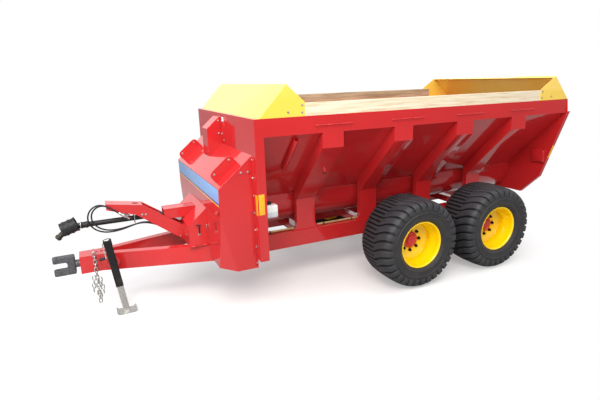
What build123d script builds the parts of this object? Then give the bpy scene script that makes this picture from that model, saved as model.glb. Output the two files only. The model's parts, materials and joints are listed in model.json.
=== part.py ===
from build123d import *
import os
from math import asin, atan2, cos, hypot, pi, radians, sin, tan

# Side-discharge V-tank spreader on a tandem walking-beam axle.
# While modelling, x = 0 is midway between the axles, +X points to the hitch,
# +Y to the left-hand side of the machine and +Z up, all in millimetres.
# The finished solids are moved so that the origin lies under the middle of the machine.

# General sheet metal and fits
SHEET = 6
FIT_GAP = 0.3
RUNNING_FIT = 0.05
SLIDING_GAP = 0.5

# Running gear
AXLE_SPACING = 1308
TYRE_RADIUS = 575
TYRE_WIDTH = 600
TREAD_DEPTH = 26
SHOULDER_INSET = 26
SHOULDER_DROP = 28
TYRE_WALL = 22
BEAD_WIDTH = 30
LUGS_PER_SIDE = 24
LUG_WIDTH = 46
LUG_ANGLE = 24
LUG_OVERLAP = 18
WHEEL_CENTRE_Y = 1190
RIM_SEAT_RADIUS = 286
RIM_FLANGE_RADIUS = 305
RIM_WIDTH = 508
RIM_WALL = 10
RIM_FLANGE_THICKNESS = 14
RIM_WELL_RADIUS = 250
RIM_WELL_HALF_WIDTH = 120
DISC_OFFSET = 10
DISC_THICKNESS = 14
DISC_DISH = 26
HUB_PILOT_RADIUS = 108
HUB_FLANGE_RADIUS = 165
HUB_FLANGE_THICKNESS = 18
HUB_BARREL_RADIUS = 92
HUB_BARREL_LENGTH = 240
HUB_NOSE = 34
HUB_CAP_RADIUS = 72
HUB_CAP_LENGTH = 58
STUD_COUNT = 8
STUD_CIRCLE_RADIUS = 137.5
STUD_RADIUS = 10
STUD_LENGTH = 32
NUT_ACROSS_FLATS = 32
NUT_THICKNESS = 20
SPINDLE_RADIUS = 45
WALKING_BEAM_GAP = 30
WALKING_BEAM_WIDTH = 120
WALKING_BEAM_END = 90
WALKING_BEAM_END_HEIGHT = 140
WALKING_BEAM_MID_HEIGHT = 210
WALKING_BEAM_MID_LENGTH = 420
PIVOT_RADIUS = 55
PIVOT_CAP_RADIUS = 78
PIVOT_CAP_THICKNESS = 16

# Frame and tongue
BEAM_BOTTOM = 490
BEAM_HEIGHT = 210
BEAM_WIDTH = 100
BEAM_OUTER_Y = 500
BEAM_WALL = 8
BEAM_REAR_X = -1900
BEAM_FRONT_X = 2950
CROSS_TUBE = 100
CROSS_TUBE_DROP = 40
HEAD_REAR_X = 4320
HEAD_LENGTH = 230
HEAD_WIDTH = 222
HEAD_WALL = 12
HEAD_PLATE = 30
HEAD_SLOT_LENGTH = 62
HEAD_SLOT_WIDTH = 22
CLEVIS_LENGTH = 235
CLEVIS_WIDTH = 104
CLEVIS_HEIGHT = 216
CLEVIS_JAW = 96
CLEVIS_JAW_DEPTH = 150
CLEVIS_PIN_RADIUS = 16.5
CLEVIS_PIN_SETBACK = 48
CLEVIS_GAP = 50
SHANK_RADIUS = 45

# Tank
TANK_FRONT_X = 2718
TANK_REAR_X = -2086
TANK_HALF_WIDTH = 1237
RAIL_TOP = 2248
RAIL_HEIGHT = 194
RAIL_WIDTH = 100
RAIL_WALL = 6
WALL_INSET = 31
TROUGH_Z = 1082
TROUGH_RADIUS = 332
TROUGH_SHOULDER_Z = 1180
FRONT_WALL_BOTTOM = 682
FRONT_LIP = 104
REAR_LIP = 50
REAR_KNEE_Y = 909
REAR_KNEE_Z = 1048
REAR_SHOULDER_Y = 1261
REAR_SHOULDER_Z = 2072
REAR_BOTTOM_Y = 597
REAR_BOTTOM_Z = 744
RIB_COUNT = 4
RIB_FIRST_X = 1790
RIB_PITCH = 972
RIB_WIDTH = 270
RIB_DEPTH = 145
LEG_SETBACK = 22
FOOT_FLARE = 64
FOOT_FLARE_HEIGHT = 70
WALL_TUBE_X = 2222
WALL_TUBE_RADIUS = 30
WALL_TUBE_WALL = 4
WALL_TUBE_TOP = 1190
WALL_TUBE_LENGTH = 550

# Hoods and side boards
HOOD_SHEET = 5
FRONT_HOOD_FOOT_X = 2660
FRONT_HOOD_RIDGE_X = 2343
FRONT_HOOD_RIDGE_Z = 2589
FRONT_HOOD_END_X = 2134
REAR_HOOD_RIDGE_X = -1778
REAR_HOOD_RIDGE_Z = 2578
REAR_HOOD_END_X = -1500
HOOD_END_HEIGHT = 152
HOOD_LIP = 34
BOARD_HEIGHT = 140
BOARD_THICKNESS = 38
BOARD_OVERLAP = 110

# Front drive casing and its guards
CASING_FRONT_X = 3103
CASING_INSET = 127
CASING_TOP_FRONT_Z = 1536
CASING_TOP_REAR_Z = 1862
CASING_BOTTOM_Z = 570
CASING_CHAMFER_TOP_Z = 1208
CASING_CHAMFER_X = 155
CASING_CHAMFER_Y = 198
FIN_NEAR_INSET = 195
FIN_FAR_INSET = 298
FIN_LENGTH = 312
FIN_HEIGHT = 118
FIN_CORNER = 56
FIN_INSET = 48
GUARD_NEAR_Y = -40
GUARD_WIDTH = 262
GUARD_FRONT_X = 2900
GUARD_SHOULDER_Z = 2057
GUARD_TOP_Z = 2196
GUARD_TOP_DEPTH = 22

# Input shield, tunnel and shaft support arm
SHIELD_HALF_WIDTH = 450
SHIELD_DEPTH = 230
SHIELD_ROOF_REAR_Z = 1172
SHIELD_ROOF_FRONT_Z = 972
DOOR_SHEET = 4
SERVICE_DOOR_FRONT_TOP = 935
SERVICE_DOOR_REAR_TOP = 900
SERVICE_DOOR_LAP = 14
HINGE_PIN_RADIUS = 6
HINGE_KNUCKLE_RADIUS = 11
HINGE_KNUCKLE_LENGTH = 36
TUNNEL_LENGTH = 212
TUNNEL_HALF_WIDTH = 86
TUNNEL_TOP_Z = 1127
TUNNEL_BOTTOM_Z = 1000
ARM_HALF_WIDTH = 100
ARM_TIP_X = 4190
ARM_TIP_TOP_Z = 1286
ARM_TIP_DEPTH = 72
ARM_BEND_X = 3784
ARM_BEND_TOP_Z = 1222
ARM_ELBOW_X = 3862
ARM_ELBOW_BOTTOM_Z = 1108
ARM_FOOT_TOP_Z = 905
ARM_FOOT_BOTTOM_Z = 704
ARM_HOLE_LENGTH = 76
ARM_HOLE_WIDTH = 60
HOOK_X = 3891
HOOK_WIRE = 5

# Drive line
PTO_Z = 1052
INPUT_RADIUS = 22
INPUT_JOINT_X = 3440
JOINT_EYE_RADIUS = 22
JOINT_EYE_HALF_WIDTH = 23
JOINT_EAR = 10
JOINT_PIN_RADIUS = 8
PTO_INNER_RADIUS = 25
PTO_OUTER_RADIUS = 31
PTO_TUBE_START_X = 3474
PTO_INNER_END_X = 4180
PTO_OUTER_START_X = 3580
PTO_OUTER_END_X = 4550
BELL_RADIUS = 81
BELL_LENGTH = 172
BELL_BACK = 81
BELL_WALL = 5
BELL_GAP = 14
BELL_DROOP = 18
YOKE_DROOP = 40
YOKE_RADIUS = 32
YOKE_BORE = 17.5
YOKE_BORE_LENGTH = 76
YOKE_RELIEF = 3
YOKE_LENGTH = 144
YOKE_REACH = 46

# Auger, expeller and their drives
AUGER_GAP = 20
AUGER_PITCH = 480
AUGER_SHAFT_RADIUS = 85
AUGER_STUB_RADIUS = 40
FLIGHT_THICKNESS = 10
FLIGHT_STEPS = 16
FLIGHT_END_GAP = 24
EXPELLER_Y = 797
EXPELLER_Z = 1117
EXPELLER_RADIUS = 280
EXPELLER_DRUM_RADIUS = 90
EXPELLER_STUB_RADIUS = 30
EXPELLER_GAP = 20
PADDLE_WIDTH = 130
PADDLE_THICKNESS = 14
PADDLE_ROWS = 3
PADDLES_PER_ROW = 4
BEARING_PLATE = 150
BEARING_PLATE_THICKNESS = 16
BEARING_BOSS = 24
BEARING_WALL = 22
SPROCKET_WIDTH = 16
CHAIN_THICKNESS = 14
GEARBOX_LENGTH = 190
GEARBOX_HALF_WIDTH = 150
GEARBOX_MARGIN = 130
GEARBOX_WALL = 20
GEARBOX_CORNER = 24
GEARBOX_ENTRY = 50
EXPELLER_DRIVE_X = 2960
EXPELLER_SPROCKET_RADIUS = 62
INPUT_EXPELLER_SPROCKET_RADIUS = 100

# Discharge opening, sliding door and its cylinder, along the slope of the right-hand wall
OPENING_X = 2000
OPENING_LENGTH = 560
OPENING_START = 60
DOOR_LAP = 28
DOOR_THICKNESS = 8
GUIDE_WIDTH = 26
GUIDE_CAP = 6
GUIDE_COVER = 18
CYLINDER_RADIUS = 32
CYLINDER_BORE = 25
ROD_RADIUS = 16
CYLINDER_STANDOFF = 58
GLAND_LENGTH = 30
PISTON_LENGTH = 28
ROD_SPARE = 50
LUG_LENGTH = 36
LUG_END_GAP = 20

# Parking jack
JACK_X = 4120
JACK_Y = 300
JACK_TILT = 7
JACK_TUBE = 84
JACK_WALL = 6
JACK_TUBE_BOTTOM = 345
JACK_TUBE_TOP = 868
JACK_HEAD = 92
JACK_HEAD_HEIGHT = 64
JACK_LEG_TOP = 600
JACK_FOOT_LENGTH = 226
JACK_FOOT_WIDTH = 170
JACK_FOOT_THICKNESS = 9
JACK_FOOT_RISE = 26
JACK_SPIGOT_HEIGHT = 625
JACK_SPIGOT_RADIUS = 46
JACK_FLANGE_RADIUS = 72
JACK_FLANGE_THICKNESS = 14
CRANK_SHAFT_RADIUS = 10
CRANK_ARM = 176
CRANK_ARM_WIDTH = 24
CRANK_ARM_THICKNESS = 12
CRANK_STANDOFF = 8
CRANK_HANDLE = 52
CRANK_KNOB_RADIUS = 17

# Safety chain
LINK_WIRE = 11
LINK_LENGTH = 62
LINK_WIDTH = 38
LINK_GAP = 0.4
LINK_COUNT = 15
CHAIN_X = 4390
CHAIN_STANDOFF = 24
CHAIN_LUG_HEIGHT = 62
CHAIN_LUG_THICKNESS = 8

# Oil bottle behind the front wall
BOTTLE_INSET = 237
BOTTLE_DEPTH = 104
BOTTLE_LENGTH = 144
BOTTLE_HEIGHT = 150
BOTTLE_CORNER = 22
BOTTLE_NECK_RADIUS = 24
BOTTLE_CAP_RADIUS = 31
BOTTLE_CAP_HEIGHT = 30
BOTTLE_SHELF_Z = 1108
BOTTLE_SETBACK = 156

# Hydraulic hoses and their couplers
HOSE_RADIUS = 9
COUPLER_RADIUS = 16
COUPLER_TIP_RADIUS = 11.8
COUPLER_LENGTH = 100
COUPLER_TIP_LENGTH = 46

# Values worked out from the sizes above
axle_z = TYRE_RADIUS
beam_top = BEAM_BOTTOM + BEAM_HEIGHT
beam_mid_z = BEAM_BOTTOM + BEAM_HEIGHT / 2
beam_inner_y = BEAM_OUTER_Y - BEAM_WIDTH
front_inside_x = TANK_FRONT_X - SHEET
rear_inside_x = TANK_REAR_X + SHEET
rail_bottom = RAIL_TOP - RAIL_HEIGHT
wall_top_y = TANK_HALF_WIDTH - WALL_INSET
wall_foot_y = TROUGH_RADIUS
wall_foot_z = TROUGH_SHOULDER_Z
wall_length = hypot(wall_top_y - wall_foot_y, rail_bottom - wall_foot_z)
wall_slope = atan2(rail_bottom - wall_foot_z, wall_top_y - wall_foot_y)
slope_cos = cos(wall_slope)
slope_sin = sin(wall_slope)
casing_half_width = TANK_HALF_WIDTH - CASING_INSET
gearbox_front_x = TANK_FRONT_X + GEARBOX_LENGTH
bottle_y = TANK_HALF_WIDTH - BOTTLE_INSET
head_front_x = HEAD_REAR_X + HEAD_LENGTH
clevis_rear_x = head_front_x + CLEVIS_GAP
clevis_tip_x = clevis_rear_x + CLEVIS_LENGTH
shield_front_x = CASING_FRONT_X + SHIELD_DEPTH
casing_slope = (CASING_TOP_REAR_Z - CASING_TOP_FRONT_Z) / (CASING_FRONT_X - TANK_FRONT_X)
walking_beam_inner_y = BEAM_OUTER_Y + WALKING_BEAM_GAP
walking_beam_outer_y = walking_beam_inner_y + WALKING_BEAM_WIDTH
barrel_ends = 2 * GLAND_LENGTH + PISTON_LENGTH + 2 * SHEET
door_stack = OPENING_START + DOOR_LAP + ROD_SPARE + barrel_ends + LUG_LENGTH + LUG_END_GAP
opening_height = (wall_length - door_stack) / 3
door_travel = opening_height
door_start = OPENING_START - DOOR_LAP
door_length = opening_height + 2 * DOOR_LAP
middle_x = (clevis_tip_x + TANK_REAR_X - REAR_LIP) / 2

nodes = {}


def block(x0, x1, y0, y1, z0, z1):
    """Box between two corners."""
    middle = Pos((x0 + x1) / 2, (y0 + y1) / 2, (z0 + z1) / 2)
    return middle * Box(x1 - x0, y1 - y0, z1 - z0)


def prism_x(points, x0, x1):
    """Outline of (y, z) points carried along X."""
    outline = Polyline([(x0, y, z) for y, z in points], close=True)
    return extrude(make_face(outline), amount=x1 - x0, dir=(1, 0, 0))


def prism_y(points, y0, y1):
    """Outline of (x, z) points carried along Y."""
    outline = Polyline([(x, y0, z) for x, z in points], close=True)
    return extrude(make_face(outline), amount=y1 - y0, dir=(0, 1, 0))


def prism_z(points, z0, z1):
    """Outline of (x, y) points carried along Z."""
    outline = Polyline([(x, y, z0) for x, y in points], close=True)
    return extrude(make_face(outline), amount=z1 - z0, dir=(0, 0, 1))


def rod_x(x0, x1, y, z, radius):
    """Round bar along X."""
    return Pos((x0 + x1) / 2, y, z) * Rot(0, 90, 0) * Cylinder(radius, x1 - x0)


def rod_y(x, y0, y1, z, radius):
    """Round bar along Y."""
    return Pos(x, (y0 + y1) / 2, z) * Rot(90, 0, 0) * Cylinder(radius, y1 - y0)


def mirrored(shape):
    """The same piece on the other side of the machine."""
    return mirror(shape, about=Plane.XZ)


def both_sides(shape):
    """A left-hand piece and its right-hand twin, as two solids."""
    return Compound([shape, mirrored(shape)])


def slope_box(x0, x1, t0, t1, n0, n1):
    """Box on the left-hand wall: t runs up the slope, n outward from the outer face."""
    plane = Plane((0, wall_foot_y, wall_foot_z), x_dir=(1, 0, 0), z_dir=(0, slope_sin, -slope_cos))
    return plane * block(x0, x1, -t1, -t0, n0, n1)


def slope_rod(x, t0, t1, n, radius):
    """Round bar that runs up the slope of the left-hand wall."""
    plane = Plane((0, wall_foot_y, wall_foot_z), x_dir=(1, 0, 0), z_dir=(0, slope_sin, -slope_cos))
    return plane * rod_y(x, -t1, -t0, n, radius)


# Wheels: tyre, rim and hub are made on the origin with the axle along Y, outer side at +Y

def wheel_point(y, radius):
    return (0, y, radius)


def tread_arc(y, radius, crown):
    """Crown line from shoulder to shoulder."""
    return ThreePointArc(wheel_point(y, radius), wheel_point(0, crown), wheel_point(-y, radius))


def tyre_carcass():
    half = TYRE_WIDTH / 2
    crown = TYRE_RADIUS - TREAD_DEPTH
    shoulder_y = half - SHOULDER_INSET
    shoulder_r = crown - SHOULDER_DROP
    bead_y = RIM_WIDTH / 2 - FIT_GAP
    toe_y = bead_y - BEAD_WIDTH
    seat_r = RIM_SEAT_RADIUS + FIT_GAP
    lip_r = RIM_FLANGE_RADIUS + FIT_GAP
    flank_r = (lip_r + shoulder_r) / 2
    edges = [
        tread_arc(shoulder_y, shoulder_r, crown),
        tread_arc(shoulder_y - TYRE_WALL, shoulder_r - TYRE_WALL, crown - TYRE_WALL),
    ]
    for side in (1, -1):
        edges += [
            Polyline(
                wheel_point(side * bead_y, lip_r),
                wheel_point(side * bead_y, seat_r),
                wheel_point(side * toe_y, seat_r),
                wheel_point(side * toe_y, lip_r),
            ),
            ThreePointArc(
                wheel_point(side * bead_y, lip_r),
                wheel_point(side * half, flank_r),
                wheel_point(side * shoulder_y, shoulder_r),
            ),
            ThreePointArc(
                wheel_point(side * toe_y, lip_r),
                wheel_point(side * (half - TYRE_WALL), flank_r),
                wheel_point(side * (shoulder_y - TYRE_WALL), shoulder_r - TYRE_WALL),
            ),
        ]
    return revolve(make_face(edges), Axis.Y)


def tread_lugs():
    """Slanted bars, left and right in turn, cut to the crown of the tread."""
    edge_y = TYRE_WIDTH / 2 - SHOULDER_INSET
    top_r = TYRE_RADIUS - SHOULDER_DROP
    root = TREAD_DEPTH + TYRE_WALL / 2
    band_edges = [
        tread_arc(edge_y, top_r, TYRE_RADIUS),
        tread_arc(edge_y, top_r - root, TYRE_RADIUS - root),
        Line(wheel_point(edge_y, top_r), wheel_point(edge_y, top_r - root)),
        Line(wheel_point(-edge_y, top_r), wheel_point(-edge_y, top_r - root)),
    ]
    band = revolve(make_face(band_edges), Axis.Y)
    bar_length = (edge_y + LUG_OVERLAP) / cos(radians(LUG_ANGLE)) + LUG_WIDTH
    bar_y = (edge_y - LUG_OVERLAP) / 2 + LUG_WIDTH / 4
    pitch = 360 / LUGS_PER_SIDE
    bars = []
    for index in range(LUGS_PER_SIDE):
        for side in (1, -1):
            turn = Rot(0, (index + side / 4) * pitch, 0)
            place = Pos(0, side * bar_y, TYRE_RADIUS) * Rot(0, 0, side * LUG_ANGLE)
            bars.append(turn * place * Box(LUG_WIDTH, bar_length, 4 * root))
    return band & Compound(bars)


def tyre():
    return tyre_carcass() + tread_lugs()


def rim():
    half = RIM_WIDTH / 2
    edge = half + RIM_FLANGE_THICKNESS
    seat_end = half - 2 * BEAD_WIDTH
    well_r = RIM_WELL_RADIUS
    right = [
        (half, RIM_FLANGE_RADIUS), (half, RIM_SEAT_RADIUS), (seat_end, RIM_SEAT_RADIUS),
        (RIM_WELL_HALF_WIDTH, well_r),
    ]
    under = [
        (RIM_WELL_HALF_WIDTH, well_r - RIM_WALL), (seat_end, RIM_SEAT_RADIUS - RIM_WALL),
        (edge, RIM_SEAT_RADIUS - RIM_WALL), (edge, RIM_FLANGE_RADIUS),
    ]
    left = [(-y, r) for y, r in reversed(right)]
    left_under = [(-y, r) for y, r in reversed(under)]
    barrel = Polyline([wheel_point(y, r) for y, r in right + left + left_under + under], close=True)
    face_y = DISC_OFFSET + DISC_THICKNESS
    disc_r = well_r - RIM_WALL / 2
    shoulder_r = STUD_CIRCLE_RADIUS + NUT_ACROSS_FLATS
    disc = Polyline([
        wheel_point(DISC_OFFSET, HUB_PILOT_RADIUS + FIT_GAP), wheel_point(face_y, HUB_PILOT_RADIUS + FIT_GAP),
        wheel_point(face_y, shoulder_r), wheel_point(face_y + DISC_DISH, disc_r),
        wheel_point(DISC_OFFSET + DISC_DISH, disc_r), wheel_point(DISC_OFFSET, shoulder_r),
    ], close=True)
    wheel = revolve(make_face(barrel), Axis.Y) + revolve(make_face(disc), Axis.Y)
    holes = [place * rod_y(0, DISC_OFFSET - SHEET, face_y + SHEET, 0, STUD_RADIUS + FIT_GAP)
             for place in stud_places()]
    return wheel - Compound(holes)


def stud_places():
    """Positions of the wheel studs round the axle."""
    step = 360 / STUD_COUNT
    return [Rot(0, index * step, 0) * Pos(0, 0, STUD_CIRCLE_RADIUS) for index in range(STUD_COUNT)]


def hub():
    """Hub casting with its studs, and the wheel nuts as solids of their own."""
    face_y = DISC_OFFSET + DISC_THICKNESS
    nose_y = DISC_OFFSET + HUB_NOSE
    cap_y = nose_y + HUB_CAP_LENGTH
    inner_y = DISC_OFFSET - HUB_FLANGE_THICKNESS
    body = rod_y(0, inner_y, DISC_OFFSET, 0, HUB_FLANGE_RADIUS)
    body += rod_y(0, inner_y - HUB_BARREL_LENGTH, inner_y, 0, HUB_BARREL_RADIUS)
    body += rod_y(0, DISC_OFFSET, nose_y, 0, HUB_PILOT_RADIUS)
    cap = rod_y(0, nose_y, cap_y, 0, HUB_CAP_RADIUS)
    body += chamfer(cap.edges().sort_by(Axis.Y)[-1], HUB_CAP_RADIUS / 4)
    for place in stud_places():
        body += place * rod_y(0, DISC_OFFSET, DISC_OFFSET + STUD_LENGTH + NUT_THICKNESS, 0, STUD_RADIUS)
    body -= rod_y(0, inner_y - HUB_BARREL_LENGTH - SHEET, nose_y, 0, SPINDLE_RADIUS + RUNNING_FIT)
    hexagon = RegularPolygon(NUT_ACROSS_FLATS / 2, 6, major_radius=False)
    nut = extrude(hexagon - Circle(STUD_RADIUS + FIT_GAP), NUT_THICKNESS)
    nuts = [place * Pos(0, face_y, 0) * Rot(-90, 0, 0) * nut for place in stud_places()]
    return Compound([body] + nuts)


tyre_shape = tyre()
rim_shape = rim()
hub_shape = hub()
for end, wheel_x in (("front", AXLE_SPACING / 2), ("rear", -AXLE_SPACING / 2)):
    seat = Pos(wheel_x, WHEEL_CENTRE_Y, axle_z)
    for piece, shape in (("tyre", tyre_shape), ("rim", rim_shape), ("hub", hub_shape)):
        nodes[f"left_{end}_{piece}"] = seat * shape
        nodes[f"right_{end}_{piece}"] = mirrored(seat * shape)


# Walking beams and the shaft that they rock on

def walking_beam():
    end_x = AXLE_SPACING / 2 + WALKING_BEAM_END
    low = axle_z - WALKING_BEAM_END_HEIGHT / 2
    high = axle_z + WALKING_BEAM_END_HEIGHT / 2
    peak = low + WALKING_BEAM_MID_HEIGHT
    flat = WALKING_BEAM_MID_LENGTH / 2
    side = [(-end_x, low), (end_x, low), (end_x, high), (flat, peak), (-flat, peak), (-end_x, high)]
    body = prism_y(side, walking_beam_inner_y, walking_beam_outer_y)
    upright = body.edges().filter_by(Axis.Z)
    body = fillet(upright, WALKING_BEAM_WIDTH / 6)
    spindle_end = WHEEL_CENTRE_Y + DISC_OFFSET + HUB_NOSE - SLIDING_GAP
    for wheel_x in (AXLE_SPACING / 2, -AXLE_SPACING / 2):
        body += rod_y(wheel_x, walking_beam_outer_y, spindle_end, axle_z, SPINDLE_RADIUS)
        collar_end = WHEEL_CENTRE_Y + DISC_OFFSET - HUB_FLANGE_THICKNESS - HUB_BARREL_LENGTH - SLIDING_GAP
        body += rod_y(wheel_x, walking_beam_outer_y, collar_end, axle_z, HUB_BARREL_RADIUS - SHEET)
    bore = rod_y(0, walking_beam_inner_y - SHEET, walking_beam_outer_y + SHEET, beam_mid_z,
                 PIVOT_RADIUS + RUNNING_FIT)
    return body - bore


nodes["left_walking_beam"] = walking_beam()
nodes["right_walking_beam"] = mirrored(nodes["left_walking_beam"])

pivot_end = walking_beam_outer_y + SLIDING_GAP
pivot = rod_y(0, -pivot_end, pivot_end, beam_mid_z, PIVOT_RADIUS)
pivot_cap = rod_y(0, pivot_end, pivot_end + PIVOT_CAP_THICKNESS, beam_mid_z, PIVOT_CAP_RADIUS)
pivot_collar = rod_y(0, BEAM_OUTER_Y, walking_beam_inner_y - SLIDING_GAP, beam_mid_z, PIVOT_CAP_RADIUS)
nodes["walking_beam_pivot"] = pivot + pivot_cap + mirrored(pivot_cap) + pivot_collar + mirrored(pivot_collar)


# Frame and tongue

def frame_beam():
    tube = block(BEAM_REAR_X, BEAM_FRONT_X, beam_inner_y, BEAM_OUTER_Y, BEAM_BOTTOM, beam_top)
    tube -= block(BEAM_REAR_X - SHEET, BEAM_FRONT_X + SHEET, beam_inner_y + BEAM_WALL,
                  BEAM_OUTER_Y - BEAM_WALL, BEAM_BOTTOM + BEAM_WALL, beam_top - BEAM_WALL)
    return tube - rod_y(0, 0, 2 * BEAM_OUTER_Y, beam_mid_z, PIVOT_RADIUS + FIT_GAP)


def tongue_outline(inset):
    """Plan of the left tongue beam, from the frame to the hitch head."""
    front_outer = HEAD_WIDTH / 2
    return [
        (BEAM_FRONT_X, beam_inner_y + inset), (BEAM_FRONT_X, BEAM_OUTER_Y - inset),
        (HEAD_REAR_X, front_outer - inset), (HEAD_REAR_X, front_outer - BEAM_WIDTH + inset),
    ]


def tongue_beam():
    tube = prism_z(tongue_outline(0), BEAM_BOTTOM, beam_top)
    return tube - prism_z(tongue_outline(BEAM_WALL), BEAM_BOTTOM + BEAM_WALL, beam_top - BEAM_WALL)


def rib_positions():
    return [RIB_FIRST_X - index * RIB_PITCH for index in range(RIB_COUNT)]


nodes["frame_beams"] = both_sides(frame_beam())
nodes["tongue_beams"] = both_sides(tongue_beam())

cross_high = beam_top - CROSS_TUBE_DROP
nodes["frame_cross_tubes"] = Compound([
    block(x - CROSS_TUBE / 2, x + CROSS_TUBE / 2, -beam_inner_y, beam_inner_y, cross_high - CROSS_TUBE, cross_high)
    for x in rib_positions()
])


def tongue_head():
    half = HEAD_WIDTH / 2
    box = block(HEAD_REAR_X, head_front_x, -half, half, BEAM_BOTTOM, beam_top)
    box -= block(HEAD_REAR_X - SHEET, head_front_x - HEAD_PLATE, HEAD_WALL - half, half - HEAD_WALL,
                 BEAM_BOTTOM + HEAD_WALL, beam_top - HEAD_WALL)
    box -= rod_x(head_front_x - 2 * HEAD_PLATE, head_front_x + SHEET, 0, beam_mid_z,
                 SHANK_RADIUS + RUNNING_FIT)
    slot = extrude(SlotOverall(HEAD_SLOT_LENGTH, HEAD_SLOT_WIDTH), 2 * HEAD_WALL, both=True)
    box -= Pos(HEAD_REAR_X + HEAD_SLOT_LENGTH, 0, beam_top) * slot
    lug_y = half + CHAIN_STANDOFF
    eye_z = beam_top + CHAIN_LUG_HEIGHT / 2
    reach = LINK_WIRE + SHEET
    lug = block(CHAIN_X - CHAIN_LUG_THICKNESS / 2, CHAIN_X + CHAIN_LUG_THICKNESS / 2, 0, lug_y + reach,
                beam_top, eye_z + reach)
    return box + lug - rod_x(CHAIN_X - HEAD_WALL, CHAIN_X + HEAD_WALL, lug_y, eye_z, LINK_WIRE / 2 + SHEET)


nodes["tongue_head"] = tongue_head()


def clevis():
    """Swivelling hitch: a jaw with two prongs on a round shank."""
    low = beam_mid_z - CLEVIS_HEIGHT / 2
    high = beam_mid_z + CLEVIS_HEIGHT / 2
    half = CLEVIS_WIDTH / 2
    body = block(clevis_rear_x, clevis_tip_x, -half, half, low, high)
    body = fillet(body.edges().filter_by(Axis.Z).group_by(Axis.X)[-1], CLEVIS_WIDTH / 3)
    body = chamfer(body.edges().group_by(Axis.X)[0], CLEVIS_WIDTH / 10)
    jaw_rear = clevis_tip_x - CLEVIS_JAW_DEPTH
    jaw_low = beam_mid_z - CLEVIS_JAW / 2
    jaw = block(jaw_rear, clevis_tip_x + SHEET, -CLEVIS_WIDTH, CLEVIS_WIDTH, jaw_low, jaw_low + CLEVIS_JAW)
    body -= fillet(jaw.edges().filter_by(Axis.Y).group_by(Axis.X)[0], CLEVIS_JAW / 4)
    pin = Cylinder(CLEVIS_PIN_RADIUS, 2 * CLEVIS_HEIGHT)
    body -= Pos(clevis_tip_x - CLEVIS_PIN_SETBACK, 0, beam_mid_z) * pin
    shank_rear = head_front_x - HEAD_PLATE - CLEVIS_GAP
    body += rod_x(shank_rear, clevis_rear_x, 0, beam_mid_z, SHANK_RADIUS)
    return body + rod_x(shank_rear - HEAD_PLATE, shank_rear + CLEVIS_GAP - SLIDING_GAP, 0, beam_mid_z,
                        SHANK_RADIUS + SHEET)


nodes["hitch_clevis"] = clevis()


# Safety chain that hangs from the lug on the head

def chain_link():
    outer = SlotOverall(LINK_LENGTH, LINK_WIDTH)
    inner = SlotOverall(LINK_LENGTH - 2 * LINK_WIRE, LINK_WIDTH - 2 * LINK_WIRE)
    ring = extrude(outer - inner, LINK_WIRE / 2, both=True)
    flat_edges = ring.faces().group_by(Axis.Z)[0].edges() + ring.faces().group_by(Axis.Z)[-1].edges()
    return chamfer(flat_edges, LINK_WIRE * 0.28)


def safety_chain():
    link = Rot(0, 90, 0) * chain_link()
    pitch = LINK_LENGTH - 2 * LINK_WIRE - LINK_GAP
    chain_y = HEAD_WIDTH / 2 + CHAIN_STANDOFF
    eye_z = beam_top + CHAIN_LUG_HEIGHT / 2
    lug_floor = eye_z - LINK_WIRE / 2 - SHEET
    bend = LINK_WIDTH / 2 - LINK_WIRE
    arch = bend - (bend ** 2 - (CHAIN_LUG_THICKNESS / 2) ** 2) ** 0.5
    first_z = lug_floor + LINK_WIRE + LINK_GAP + arch - LINK_LENGTH / 2
    return Compound([
        Pos(CHAIN_X, chain_y, first_z - index * pitch) * Rot(0, 0, 90 * ((index + 1) % 2)) * link
        for index in range(LINK_COUNT)
    ])


nodes["safety_chain"] = safety_chain()


# Tank: sloping walls, round trough, end walls, rails, ribs

def tank_wall():
    """Sloping sheet whose foot stands on the side of the trough."""
    inner_foot_z = wall_foot_z + SHEET * (1 - slope_sin) / slope_cos
    section = [
        (wall_top_y, rail_bottom), (wall_foot_y, wall_foot_z), (wall_foot_y - SHEET, wall_foot_z),
        (wall_foot_y - SHEET, inner_foot_z), (wall_top_y - SHEET / slope_sin, rail_bottom),
    ]
    return prism_x(section, rear_inside_x, front_inside_x)


def left_tank_wall():
    """Plain wall with a short length of pipe welded along its slope."""
    low = WALL_TUBE_TOP - WALL_TUBE_LENGTH
    tube = slope_rod(WALL_TUBE_X, low, WALL_TUBE_TOP, WALL_TUBE_RADIUS, WALL_TUBE_RADIUS)
    tube -= slope_rod(WALL_TUBE_X, low - SHEET, WALL_TUBE_TOP + SHEET, WALL_TUBE_RADIUS,
                      WALL_TUBE_RADIUS - WALL_TUBE_WALL)
    web = slope_box(WALL_TUBE_X - WALL_TUBE_RADIUS / 2, WALL_TUBE_X + WALL_TUBE_RADIUS / 2, low,
                    WALL_TUBE_TOP, 0, WALL_TUBE_WALL)
    return tank_wall() + tube + web


def right_tank_wall():
    """Wall with the discharge opening, the door guides and the cylinder lug, made as a left one."""
    wall = tank_wall()
    end_x = OPENING_X + OPENING_LENGTH
    wall -= slope_box(OPENING_X, end_x, OPENING_START, OPENING_START + opening_height, -2 * SHEET, SHEET)
    guide_end = door_start + door_length + door_travel
    height = 2 * SLIDING_GAP + DOOR_THICKNESS
    for edge_x, side in ((OPENING_X - DOOR_LAP - SLIDING_GAP, -1), (end_x + DOOR_LAP + SLIDING_GAP, 1)):
        far_x = edge_x + side * GUIDE_WIDTH
        cover_x = edge_x - side * GUIDE_COVER
        wall += slope_box(min(edge_x, far_x), max(edge_x, far_x), door_start, guide_end, 0, height + GUIDE_CAP)
        wall += slope_box(min(cover_x, far_x), max(cover_x, far_x), door_start, guide_end, height,
                          height + GUIDE_CAP)
    lug_start = cylinder_start() + cylinder_length()
    half = CYLINDER_RADIUS
    wall += slope_box(cylinder_x() - half, cylinder_x() + half, lug_start, lug_start + LUG_LENGTH, 0,
                      CYLINDER_STANDOFF + half)
    return wall


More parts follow.
